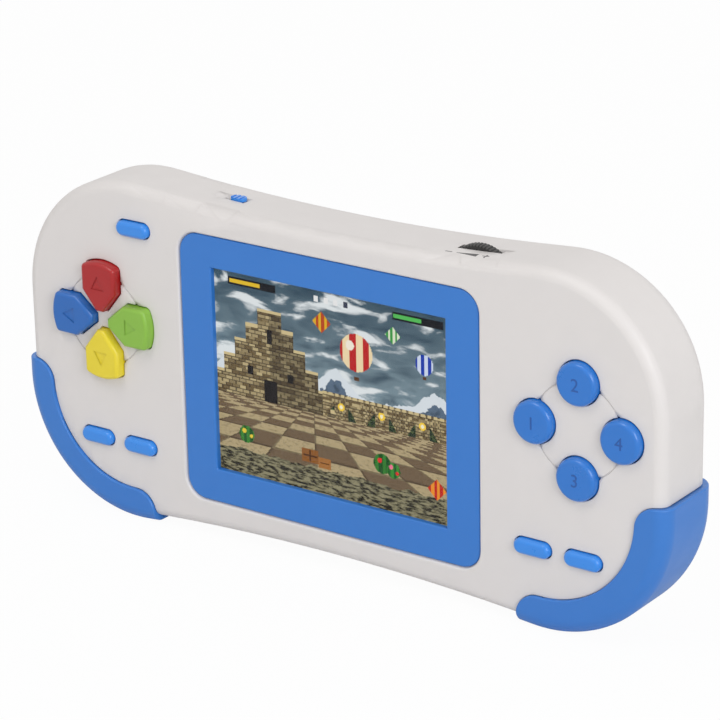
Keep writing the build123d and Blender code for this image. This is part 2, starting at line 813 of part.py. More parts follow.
# Long keys: reset above the direction keys, and a pair at each lower side
long_keys = {
    "reset_key": reset_place,
    "left_pair_outer_key": left_pills[0],
    "left_pair_inner_key": left_pills[1],
    "right_pair_inner_key": right_pills[0],
    "right_pair_outer_key": right_pills[1],
}
for name, place in long_keys.items():
    with BuildPart() as long_key:
        extrude(pills(-pill_rise, pill_length, pill_width, [place]), amount=-(pill_rise + flange_depth))
        fillet(long_key.faces().sort_by(Axis.Y)[0].edges(), pill_edge)
        long_flange = pills(
            flange_depth, pill_length + 2 * pill_rim, pill_width + 2 * pill_rim, [place]
        )
        extrude(long_flange, amount=-flange_thickness)
    long_key.part.label = name
    export_step(long_key.part, f"parts/{name}.step")


def membrane(sheet, places, base, top):
    """Rubber sheet on the board with a tapered dome behind each key."""
    height = sheet_depth - dome_depth
    with BuildPart() as rubber:
        extrude(sheet, amount=-sheet_thickness)
        extrude(
            discs(sheet_depth, base, places), amount=height, taper=degrees(atan((base - top) / height))
        )
    return rubber.part


# Rubber membranes under the keys
pad_places = [on_circle(pad_x, pad_rise, arrow_place, turn) for turn in compass.values()]
pair_length = pill_pitch + pill_length + 2 * sheet_rim
strip_width = pill_width + 2 * sheet_rim
membranes = {
    "direction_membrane": membrane(
        discs(sheet_depth, petal_outer + sheet_rim, [(pad_x, pad_rise)]), pad_places, dome_base, dome_top
    ),
    "action_membrane": membrane(
        discs(sheet_depth, action_ring + round_key_radius + sheet_rim, [(action_x, action_rise)]),
        action_places, dome_base, dome_top,
    ),
    "left_pair_membrane": membrane(
        pills(sheet_depth, pair_length, strip_width, [(left_pills_x, pill_z)]),
        left_pills, pill_dome_base, pill_dome_top,
    ),
    "right_pair_membrane": membrane(
        pills(sheet_depth, pair_length, strip_width, [(right_pills_x, pill_z)]),
        right_pills, pill_dome_base, pill_dome_top,
    ),
    "reset_membrane": membrane(
        pills(sheet_depth, pill_length + 2 * sheet_rim, strip_width, [reset_place]),
        [reset_place], pill_dome_base, pill_dome_top,
    ),
}
for name, rubber in membranes.items():
    rubber.label = name
    export_step(rubber, f"parts/{name}.step")

# Circuit board with room for the bosses, the wheel and the switch
switch_bottom = switch_top - switch_height
with BuildPart() as main_board:
    extrude(housing_outline(board_depth, -(wall + board_inset)), amount=-board_thickness)
    board_cuts = [
        discs(board_depth, boss_radius + 2 * key_gap, all_bosses),
        discs(board_depth, board_hole, post_places),
        discs(board_depth, wheel_radius + wheel_gap, [(wheel_x, wheel_z)]),
        plate(
            board_depth, switch_length + 2 * bezel_gap, switch_height + 2 * (wall + board_inset),
            switch_x, switch_bottom - seat_gap + switch_height / 2 + wall + board_inset,
        ),
    ]
    for board_cut in board_cuts:
        extrude(board_cut, amount=-board_thickness, mode=Mode.SUBTRACT)
main_board.part.label = "main_board"
export_step(main_board.part, "parts/main_board.step")

with BuildPart() as main_chip:
    extrude(plate(board_back, chip_size, chip_size, chip_x, chip_z), amount=-chip_thickness)
main_chip.part.label = "main_chip"
export_step(main_chip.part, "parts/main_chip.step")

with BuildPart() as memory_chip:
    extrude(plate(board_back, memory_width, memory_height, memory_x, memory_z), amount=-memory_thickness)
memory_chip.part.label = "memory_chip"
export_step(memory_chip.part, "parts/memory_chip.step")

with BuildPart() as capacitors:
    can_places = [(capacitor_x, capacitor_z), (capacitor_x - capacitor_pitch, capacitor_z)]
    extrude(discs(board_back, capacitor_radius, can_places), amount=-capacitor_height)
capacitors.part.label = "capacitors"
export_step(capacitors.part, "parts/capacitors.step")

# Volume wheel, the potentiometer behind it and the clip that keeps it on the shaft
wheel_front = wheel_depth - wheel_thickness / 2
with BuildPart() as volume_wheel:
    extrude(discs(wheel_front, wheel_radius, [(wheel_x, wheel_z)]), amount=-wheel_thickness)
    chamfer(volume_wheel.edges(), wheel_bevel)
    with BuildSketch(level(wheel_front)):
        with Locations((wheel_x, wheel_z)):
            with PolarLocations(wheel_radius, tooth_count):
                RegularPolygon(tooth_deep, 4)
    extrude(amount=-wheel_thickness, mode=Mode.SUBTRACT)
    extrude(
        discs(wheel_front, shaft_radius + shaft_gap, [(wheel_x, wheel_z)]),
        amount=-wheel_thickness, mode=Mode.SUBTRACT,
    )
volume_wheel.part.label = "volume_wheel"
export_step(volume_wheel.part, "parts/volume_wheel.step")

with BuildPart() as volume_potentiometer:
    extrude(discs(board_back, pot_radius, [(wheel_x, wheel_z)]), amount=-pot_thickness)
    trim = plate(board_back, 2 * pot_radius, 2 * pot_radius, wheel_x, wheel_z + pot_top + pot_radius)
    extrude(trim, amount=-pot_thickness, mode=Mode.SUBTRACT)
    extrude(
        discs(board_back, wheel_radius + pot_relief, [(wheel_x, wheel_z)]),
        amount=wheel_front + wheel_thickness - pot_relief - board_back - 2 * stop_gap,
        mode=Mode.SUBTRACT,
    )
    shaft_front = wheel_front - stop_gap
    extrude(
        discs(shaft_front, shaft_radius, [(wheel_x, wheel_z)]),
        amount=shaft_front - board_back - pot_thickness,
    )
volume_potentiometer.part.label = "volume_potentiometer"
export_step(volume_potentiometer.part, "parts/volume_potentiometer.step")

with BuildPart() as wheel_clip:
    extrude(discs(shaft_front - cap_thickness, cap_radius, [(wheel_x, wheel_z)]), amount=-cap_thickness)
wheel_clip.part.label = "wheel_clip"
export_step(wheel_clip.part, "parts/wheel_clip.step")

# Power switch: body on the board's edge, and a knob that slides in the scoop above it
knob_x = switch_x + knob_travel / 2
with BuildPart() as switch_body:
    extrude(
        plate(
            switch_depth - switch_width / 2, switch_length, switch_height,
            switch_x, switch_top - switch_height / 2,
        ),
        amount=-switch_width,
    )
    extrude(
        plate(
            switch_depth - neck_room / 2, neck_length + knob_travel + 2 * neck_gap, 2 * stem_length,
            switch_x, switch_top,
        ),
        amount=-neck_room, mode=Mode.SUBTRACT,
    )
    with BuildSketch(level(board_back)):
        with GridLocations(pin_pitch, pin_length, 3, 1):
            with Locations((switch_x, switch_bottom - pin_length / 2)):
                Rectangle(pin_width, pin_length)
    extrude(amount=-pin_thickness)
switch_body.part.label = "switch_body"
export_step(switch_body.part, "parts/switch_body.step")

with BuildPart() as switch_knob:
    cap_height = knob_rise + knob_sink
    extrude(
        plate(
            switch_depth - knob_width / 2, knob_length, cap_height,
            knob_x, switch_z + knob_rise - cap_height / 2,
        ),
        amount=-knob_width,
    )
    fillet(switch_knob.edges().filter_by(Axis.Z), knob_round)
    for step in (-1, 0, 1):
        rib = plate(
            switch_depth - knob_width / 2, knob_rib, 2 * knob_rib_deep,
            knob_x + 3 * step * knob_rib, switch_z + knob_rise,
        )
        extrude(rib, amount=-knob_width, mode=Mode.SUBTRACT)
    collar_top = switch_z - wall - collar_drop
    neck_height = switch_z - knob_sink - collar_top
    extrude(
        plate(switch_depth - neck_width / 2, neck_length, neck_height, knob_x, collar_top + neck_height / 2),
        amount=-neck_width,
    )
    extrude(
        plate(
            switch_depth - collar_width / 2, collar_length, collar_thickness,
            knob_x, collar_top - collar_thickness / 2,
        ),
        amount=-collar_width,
    )
    stem_top = collar_top - collar_thickness
    extrude(
        plate(switch_depth - neck_width / 2, neck_length, stem_length, knob_x, stem_top - stem_length / 2),
        amount=-neck_width,
    )
switch_knob.part.label = "switch_knob"
export_step(switch_knob.part, "parts/switch_knob.step")

# Speaker, facing the grille
speaker_back = inner_back - seat_gap
speaker_places = [(speaker_x, speaker_z)]
with BuildPart() as speaker:
    rim_depth = speaker_back - speaker_rim
    extrude(discs(rim_depth, speaker_radius, speaker_places), amount=-speaker_rim)
    magnet_depth = speaker_back - speaker_depth
    extrude(discs(magnet_depth, magnet_radius, speaker_places), amount=-magnet_height)
    with BuildSketch(level(magnet_depth + magnet_height)):
        with Locations(*speaker_places):
            Circle(magnet_radius)
    with BuildSketch(level(rim_depth)):
        with Locations(*speaker_places):
            Circle(speaker_radius - speaker_basket)
    loft()
    with BuildSketch(level(speaker_back)):
        with Locations(*speaker_places):
            Circle(speaker_radius - 2 * speaker_basket)
    with BuildSketch(level(speaker_back - speaker_rim)):
        with Locations(*speaker_places):
            Circle(cone_radius)
    loft(mode=Mode.SUBTRACT)
speaker.part.label = "speaker"
export_step(speaker.part, "parts/speaker.step")


def screws(seat, length, radius, places):
    """Pan-head screws with a cross in the head, driven in from the back."""
    with BuildPart() as group:
        extrude(discs(seat - length, radius, places), amount=-length)
        extrude(discs(seat, head_radius, places), amount=-head_height)
        fillet(group.faces().group_by(Axis.Y)[-1].edges(), head_round)
        with BuildSketch(level(seat + head_height - cross_deep)):
            with Locations(*places):
                Rectangle(cross_length, cross_width)
                Rectangle(cross_width, cross_length)
        extrude(amount=-cross_deep, mode=Mode.SUBTRACT)
    return group.part


casing_screws = screws(head_seat, screw_length, screw_radius, all_bosses)
casing_screws.label = "casing_screws"
export_step(casing_screws, "parts/casing_screws.step")

board_screws = screws(board_back, board_screw_length, post_bore - screw_fit, post_places)
board_screws.label = "board_screws"
export_step(board_screws, "parts/board_screws.step")
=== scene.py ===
import json
import logging
from dataclasses import dataclass, field
from enum import Enum
from math import cos, radians, sin, tau

import bmesh
import bpy
from mathutils import Matrix, Vector
from mathutils.bvhtree import BVHTree


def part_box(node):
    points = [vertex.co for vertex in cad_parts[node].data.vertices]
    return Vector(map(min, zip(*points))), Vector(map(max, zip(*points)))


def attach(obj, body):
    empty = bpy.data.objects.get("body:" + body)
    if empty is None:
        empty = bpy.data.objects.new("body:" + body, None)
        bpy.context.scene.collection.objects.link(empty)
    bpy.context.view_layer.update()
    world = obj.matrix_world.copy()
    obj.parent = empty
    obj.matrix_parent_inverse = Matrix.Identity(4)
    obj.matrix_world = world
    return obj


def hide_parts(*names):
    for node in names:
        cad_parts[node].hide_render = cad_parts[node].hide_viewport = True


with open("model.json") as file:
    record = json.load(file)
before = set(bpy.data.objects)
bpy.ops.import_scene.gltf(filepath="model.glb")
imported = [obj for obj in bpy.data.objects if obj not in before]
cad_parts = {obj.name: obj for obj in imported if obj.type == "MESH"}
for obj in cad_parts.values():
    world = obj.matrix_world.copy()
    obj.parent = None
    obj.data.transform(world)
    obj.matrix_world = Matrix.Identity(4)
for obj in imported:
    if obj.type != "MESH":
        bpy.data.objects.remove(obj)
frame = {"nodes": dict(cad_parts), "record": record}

log = logging.getLogger("console")
MM = 0.001
Colour = tuple[float, float, float]


def srgb(red: float, green: float, blue: float) -> Colour:
    """Turn a colour counted from 0 to 255 into the linear values that shaders use.

    Args:
        red: share of red, from 0 to 255.
        green: share of green, from 0 to 255.
        blue: share of blue, from 0 to 255.

    Returns:
        The three linear values.
    """
    shares = [value / 255 for value in (red, green, blue)]
    return tuple(s / 12.92 if s <= 0.04045 else ((s + 0.055) / 1.055) ** 2.4 for s in shares)


def shade(colour: Colour, share: float) -> Colour:
    """Make a colour darker, with a share under 1, or lighter.

    Args:
        colour: the colour.
        share: what each of its values is multiplied by.

    Returns:
        The new colour.
    """
    return tuple(min(value * share, 1.0) for value in colour)


class Sock:
    """An output socket of a material that takes part in arithmetic."""

    def __init__(self, tree: "Tree", link: bpy.types.NodeSocket) -> None:
        """Wrap one socket.

        Args:
            tree: the material that new nodes go into.
            link: the socket that holds the value.
        """
        self.tree = tree
        self.link = link

    def maths(self, operation: str, *values: "Sock | float") -> "Sock":
        """Add a Math node.

        Args:
            operation: the node's operation.
            values: what goes into its sockets, in order.

        Returns:
            The result.
        """
        return self.tree.add("ShaderNodeMath", {"operation": operation}, dict(enumerate(values)))

    def __add__(self, other: "Sock | float") -> "Sock":
        """Add."""
        return self.maths("ADD", self, other)

    def __sub__(self, other: "Sock | float") -> "Sock":
        """Take away."""
        return self.maths("SUBTRACT", self, other)

    def __rsub__(self, other: float) -> "Sock":
        """Take this away from a number."""
        return self.maths("SUBTRACT", other, self)

    def __mul__(self, other: "Sock | float") -> "Sock":
        """Multiply."""
        return self.maths("MULTIPLY", self, other)

    def __truediv__(self, other: "Sock | float") -> "Sock":
        """Divide."""
        return self.maths("DIVIDE", self, other)

    def __rtruediv__(self, other: float) -> "Sock":
        """Divide a number by this."""
        return self.maths("DIVIDE", other, self)

    def __lt__(self, other: "Sock | float") -> "Sock":
        """Give 1 where this is smaller, else 0."""
        return self.maths("LESS_THAN", self, other)

    def __gt__(self, other: "Sock | float") -> "Sock":
        """Give 1 where this is larger, else 0."""
        return self.maths("GREATER_THAN", self, other)

    def __abs__(self) -> "Sock":
        """Drop the sign."""
        return self.maths("ABSOLUTE", self)

    __radd__ = __add__
    __rmul__ = __mul__

    def floor(self) -> "Sock":
        """Round down."""
        return self.maths("FLOOR", self)

    def fraction(self) -> "Sock":
        """Keep what lies behind the point."""
        return self.maths("FRACT", self)

    def wave(self) -> "Sock":
        """Fold the value to run up and down between 0 and 1."""
        return self.maths("PINGPONG", self, 1.0)

    def either(self, other: "Sock") -> "Sock":
        """Take the larger of two values."""
        return self.maths("MAXIMUM", self, other)

    def clamp(self) -> "Sock":
        """Keep the value between 0 and 1."""
        raised = self.maths("MAXIMUM", self, 0.0)
        return self.maths("MINIMUM", raised, 1.0)

    def ramp(self, start: float, slope: float) -> "Sock":
        """Rise from 0 to 1 past a value, or fall before it with a slope below 0.

        Args:
            start: the value at which it leaves 0.
            slope: how steep it is.

        Returns:
            A value from 0 to 1.
        """
        return ((self - start) * slope).clamp()

    def swing(self, depth: float) -> "Sock":
        """Turn a value from 0 to 1 into one that swings about 0.

        Args:
            depth: how far it swings from end to end.

        Returns:
            The swinging value.
        """
        return (self - 0.5) * depth


class Tree:
    """A material under construction."""

    def __init__(self, name: str) -> None:
        """Start an empty material.

        Args:
            name: the material's name.
        """
        self.material = bpy.data.materials.new(name)
        self.material.use_nodes = True
        self.nodes = self.material.node_tree.nodes
        self.nodes.clear()

    def add(
        self, kind: str, settings: dict | None = None, inputs: dict | None = None, output: int = 0,
    ) -> Sock:
        """Add a node of any type.

        Args:
            kind: the node's type.
            settings: what is set on the node first.
            inputs: values or sockets, by the input's name or number.
            output: number of the output that is wanted.

        Returns:
            The wanted output.
        """
        node = self.nodes.new(kind)
        for key, value in (settings or {}).items():
            setattr(node, key, value)
        for key, value in (inputs or {}).items():
            if isinstance(value, Sock):
                self.material.node_tree.links.new(value.link, node.inputs[key])
            elif isinstance(value, tuple) and len(node.inputs[key].default_value) == 4:
                node.inputs[key].default_value = (*value, 1)
            else:
                node.inputs[key].default_value = value
        return Sock(self, node.outputs[output])

    def place(self) -> Sock:
        """Give the place on the object, in metres."""
        return self.add("ShaderNodeTexCoord", output=3)

    def parts(self, vector: Sock) -> list[Sock]:
        """Split a vector.

        Args:
            vector: the vector.

        Returns:
            Its three parts.
        """
        first = self.add("ShaderNodeSeparateXYZ", inputs={0: vector})
        return [Sock(self, output) for output in first.link.node.outputs]

    def noise(self, vector: Sock, scale: float, detail: float = 2.0, stretch: float = 0.0) -> Sock:
        """Add a noise pattern.

        Args:
            vector: where the pattern is read.
            scale: waves per unit.
            detail: how many finer layers it has.
            stretch: how far it is bent by itself.

        Returns:
            A value from 0 to 1.
        """
        return self.add("ShaderNodeTexNoise", None, {
            "Vector": vector, "Scale": scale, "Detail": detail, "Distortion": stretch,
        })

    def mix(self, share: Sock | float, first: Sock | Colour, second: Sock | Colour) -> Sock:
        """Mix two colours.

        Args:
            share: share of the second colour.
            first: the first colour.
            second: the second colour.

        Returns:
            The mixed colour.
        """
        inputs = {0: share, 6: first, 7: second}
        return self.add("ShaderNodeMix", {"data_type": "RGBA"}, inputs, output=2)

    def bump(self, height: Sock, distance: float) -> Sock:
        """Turn a height into a normal.

        Args:
            height: the height, as a share.
            distance: how high a share of 1 stands, in metres.

        Returns:
            The normal.
        """
        return self.add("ShaderNodeBump", None, {"Height": height, "Distance": distance})

    def surface(self, **inputs: Sock | float | Colour) -> bpy.types.Material:
        """Close the material with one shader.

        Args:
            inputs: values or sockets, by the shader's input names with _ for a space.

        Returns:
            The finished material.
        """
        named = {key.replace("_", " "): value for key, value in inputs.items()}
        shader = self.add("ShaderNodeBsdfPrincipled", None, named)
        return self.close(shader)

    def close(self, shader: Sock) -> bpy.types.Material:
        """Put a shader on the surface.

        Args:
            shader: the shader.

        Returns:
            The finished material.
        """
        output = self.nodes.new("ShaderNodeOutputMaterial")
        self.material.node_tree.links.new(shader.link, output.inputs["Surface"])
        return self.material


@dataclass(frozen=True)
class MouldedPlastic:
    """Moulded plastic with a faint cloud in its colour, a spark-eroded grain and rubbed patches."""

    name: str
    colour: Colour
    cloud: Colour
    roughness: float = 0.45
    grain: float = 0.000006
    grain_scale: float = 2400.0
    coat: float = 0.0
    coat_roughness: float = 0.2
    flow_share: float = 0.55
    rubbed_gloss: float = 0.16
    grain_gloss: float = 0.06
    rubbed_height: float = 0.8

    def make(self) -> bpy.types.Material:
        """Build the material.

        Returns:
            The finished material.
        """
        tree = Tree(self.name)
        place = tree.place()
        flow = tree.noise(place, scale=30.0, detail=3.0, stretch=0.6)
        rubbed = tree.noise(place, scale=210.0, detail=4.0)
        speck = tree.noise(place, scale=self.grain_scale)
        clouded = flow * self.flow_share + rubbed * (1 - self.flow_share)
        return tree.surface(
            Base_Color=tree.mix(clouded, self.colour, self.cloud),
            Roughness=(
                self.roughness + rubbed.swing(self.rubbed_gloss) + speck.swing(self.grain_gloss)
            ),
            Coat_Weight=self.coat,
            Coat_Roughness=self.coat_roughness,
            Normal=tree.bump(speck + rubbed * self.rubbed_height, self.grain),
        )


@dataclass(frozen=True)
class RibbedRim:
    """Black wheel, with a painted highlight on its rib tips, varied by rubbed patches, and painted
    shade in the gaps between the ribs.
    """

    name: str
    centre: tuple[float, float]
    radius: float
    colour: Colour = srgb(40, 38, 38)
    # painted highlight on the rib tips and painted shade in the gaps between the ribs
    painted_tip_highlight: Colour = srgb(78, 75, 73)
    painted_gap_shade: Colour = srgb(12, 11, 11)
    ribs: int = 64
    rib_share: float = 0.27
    rim_share: float = 0.955
    highlight_wear_share: float = 0.45
    roughness: float = 0.42
    rubbed_gloss: float = 0.14
    grain: float = 0.000006

    def make(self) -> bpy.types.Material:
        """Build the material.

        Returns:
            The finished material.
        """
        tree = Tree(self.name)
        place = tree.place()
        x, _, z = tree.parts(place)
        right = x - self.centre[0]
        high = z - self.centre[1]
        turn = high.maths("ARCTAN2", high, right) * (self.ribs / tau)
        rib = abs(turn.fraction() - 0.5) < self.rib_share
        rim = right * right + high * high > (self.radius * self.rim_share) ** 2
        rubbed = tree.noise(place, scale=900.0, detail=3.0)
        # on the outer rim only: painted highlight on the rib tips, varied by rubbed patches, over
        # painted shade in the gaps
        tip_highlight = rib * (1 - self.highlight_wear_share + rubbed * self.highlight_wear_share)
        return tree.surface(
            Base_Color=tree.mix(rim, self.colour, tree.mix(tip_highlight, self.painted_gap_shade, self.painted_tip_highlight)),
            Roughness=self.roughness + rubbed * self.rubbed_gloss,
            Normal=tree.bump(rubbed, self.grain),
        )


@dataclass(frozen=True)
class PlatedSteel:
    """Plated sheet steel or screws, with a fine brushed line and small stains."""

    name: str
    colour: Colour
    roughness: float = 0.32
    line_stretch: float = 9.0
    line_depth: float = 0.000004
    line_gloss: float = 0.2
    stain_gloss: float = 0.12
    stain_share: float = 0.72

    def make(self) -> bpy.types.Material:
        """Build the material.

        Returns:
            The finished material.
        """
        tree = Tree(self.name)
        place = tree.place()
        across, _, up = tree.parts(place)
        brushed = tree.add("ShaderNodeCombineXYZ", None, {0: across * self.line_stretch, 2: up})
        line = tree.noise(brushed, scale=2600.0)
        stain = tree.noise(place, scale=420.0, detail=3.0)
        return tree.surface(
            Base_Color=tree.mix(stain, self.colour, shade(self.colour, self.stain_share)),
            Metallic=1.0,
            Roughness=self.roughness + line.swing(self.line_gloss) + stain.swing(self.stain_gloss),
            Normal=tree.bump(line, self.line_depth),
        )


@dataclass(frozen=True)
class Silicone:
    """Translucent silicone of the sheets under the keys, with dust in its grain."""

    name: str
    colour: Colour
    roughness: float = 0.5
    dust_gloss: float = 0.3
    dust_share: float = 0.8
    dust_height: float = 0.00001
    light_share: float = 0.15
    light_depth: float = 0.001

    def make(self) -> bpy.types.Material:
        """Build the material.

        Returns:
            The finished material.
        """
        tree = Tree(self.name)
        dust = tree.noise(tree.place(), scale=900.0, detail=4.0)
        return tree.surface(
            Base_Color=tree.mix(dust, self.colour, shade(self.colour, self.dust_share)),
            Roughness=self.roughness + dust * self.dust_gloss,
            Subsurface_Weight=self.light_share,
            Subsurface_Radius=(self.light_depth,) * 3,
            Normal=tree.bump(dust, self.dust_height),
        )


@dataclass(frozen=True)
class SolderMask:
    """Green board lacquer over copper lines, with tinned pads between them."""

    name: str
    lacquer: Colour
    line: Colour
    pad: Colour
    pitch: float = 0.0032
    lines_per_row: float = 2.0
    line_bends: float = 3.0
    line_width: float = 0.14
    pad_size: float = 0.045
    pad_rarity: float = 0.62
    roughness: float = 0.32
    gloss: float = 0.12
    height: float = 0.00003

    def make(self) -> bpy.types.Material:
        """Build the material.

        Returns:
            The finished material.
        """
        tree = Tree(self.name)
        place = tree.place()
        across, _, up = tree.parts(place)
        column = across / self.pitch
        row = up / self.pitch
        bend = (tree.noise(place, scale=90.0, detail=1.0) * self.line_bends).floor()
        lines = abs((row * self.lines_per_row + bend).fraction() - 0.5) < self.line_width
        right = column.fraction() - 0.5
        high = row.fraction() - 0.5
        rings = (right * right + high * high) < self.pad_size
        pads = rings * (tree.noise(place, scale=130.0, detail=0.0) > self.pad_rarity)
        return tree.surface(
            Base_Color=tree.mix(pads, tree.mix(lines, self.lacquer, self.line), self.pad),
            Metallic=pads,
            Roughness=self.roughness + tree.noise(place, scale=700.0) * self.gloss,
            Normal=tree.bump(lines + pads, self.height),
        )


@dataclass(frozen=True)
class CellJacket:
    """Printed sleeve of a cell with a second colour towards one end, and bare steel ends."""

    name: str
    sleeve: Colour
    band: Colour
    steel: Colour
    half_length: float
    band_place: float
    line_width: float = 0.35 * MM
    metal_share: float = 0.35
    roughness: float = 0.22
    gloss: float = 0.14
    grain: float = 0.000008

    def make(self) -> bpy.types.Material:
        """Build the material.

        Returns:
            The finished material.
        """
        tree = Tree(self.name)
        place = tree.place()
        across, _, _ = tree.parts(place)
        scratch = tree.noise(place, scale=800.0)
        banded = tree.mix(across < self.band_place, self.sleeve, self.band)
        line = abs(across - self.band_place) < self.line_width
        ends = abs(across) > self.half_length
        return tree.surface(
            Base_Color=tree.mix(ends, tree.mix(line, banded, self.steel), self.steel),
            Metallic=self.metal_share + ends * (1 - self.metal_share),
            Roughness=self.roughness + scratch * self.gloss,
            Normal=tree.bump(scratch, self.grain),
        )


@dataclass(frozen=True)
class SpeakerCone:
    """Painted basket and magnet, with a darker paper cone inside the rim."""

    name: str
    basket: Colour
    paper: Colour
    cone_y: float
    fibre_share: float = 0.2
    roughness: float = 0.45
    fibre_gloss: float = 0.3
    fibre_height: float = 0.00002

    def make(self) -> bpy.types.Material:
        """Build the material.

        Returns:
            The finished material.
        """
        tree = Tree(self.name)
        place = tree.place()
        _, depth, _ = tree.parts(place)
        fibre = tree.noise(place, scale=1500.0, detail=3.0)
        papered = (depth > self.cone_y) * (1 - self.fibre_share) + fibre * self.fibre_share
        return tree.surface(
            Base_Color=tree.mix(papered, self.basket, self.paper),
            Roughness=self.roughness + fibre * self.fibre_gloss,
            Normal=tree.bump(fibre, self.fibre_height),
        )


@dataclass(frozen=True)
class ClearWindow:
    """Clear lens with a few faint smudges."""

    name: str
    tint: Colour = srgb(60, 64, 68)
    cover: float = 0.10
    smudge_cover: float = 0.02
    roughness: float = 0.02
    smudge_gloss: float = 0.05

    def make(self) -> bpy.types.Material:
        """Build the material.

        Returns:
            The finished material.
        """
        tree = Tree(self.name)
        smudge = tree.noise(tree.place(), scale=120.0, detail=3.0, stretch=1.0)
        return tree.surface(
            Base_Color=self.tint,
            Roughness=self.roughness + smudge * self.smudge_gloss,
            Alpha=self.cover + smudge * self.smudge_cover,
        )


@dataclass(frozen=True)
class Blob:
    """A round or diamond-shaped figure on the display, in shares of the picture."""

    across: float
    up: float
    size: float
    colour: Colour
    stripe: Colour | None = None
    diamond: bool = False


@dataclass(frozen=True)
class Bar:
    """A plain bar on the display, in shares of the picture."""

    across: float
    up: float
    length: float
    height: float
    colour: Colour


@dataclass(frozen=True)
class Canvas:
    """Where the display's picture is painted, in shares of its width and height."""

    tree: Tree
    across: Sock
    up: Sock

    def noise(
        self, wide: float, high: float, detail: float, scale: float = 1.0, stretch: float = 0.0,
    ) -> Sock:
        """Add a noise that repeats differently across and upwards.

        Args:
            wide: how often it repeats across.
            high: how often it repeats upwards.
            detail: how many finer layers it has.
            scale: waves in one repeat.
            stretch: how far it is bent by itself.

        Returns:
            A value from 0 to 1.
        """
        stretched = {0: self.across * wide, 1: self.up * high}
        place = self.tree.add("ShaderNodeCombineXYZ", None, stretched)
        return self.tree.noise(place, scale, detail, stretch)

    def peaks(self, often: float, high: float, shift: float = 0.0) -> Sock:
        """Give the top line of a row of even peaks.

        Args:
            often: how many slopes lie side by side.
            high: how high a peak stands.
            shift: how far the row is moved, in slopes.

        Returns:
            The height of the line.
        """
        return (self.across * often + shift).wave() * high

    def box(self, across: float, up: float, width: float, height: float) -> Sock:
        """Give 1 inside an upright box, else 0.

        Args:
            across: where its middle lies.
            up: how high its middle lies.
            width: its width.
            height: its height.

        Returns:
            The mask.
        """
        return (abs(self.across - across) < width / 2) * (abs(self.up - up) < height / 2)


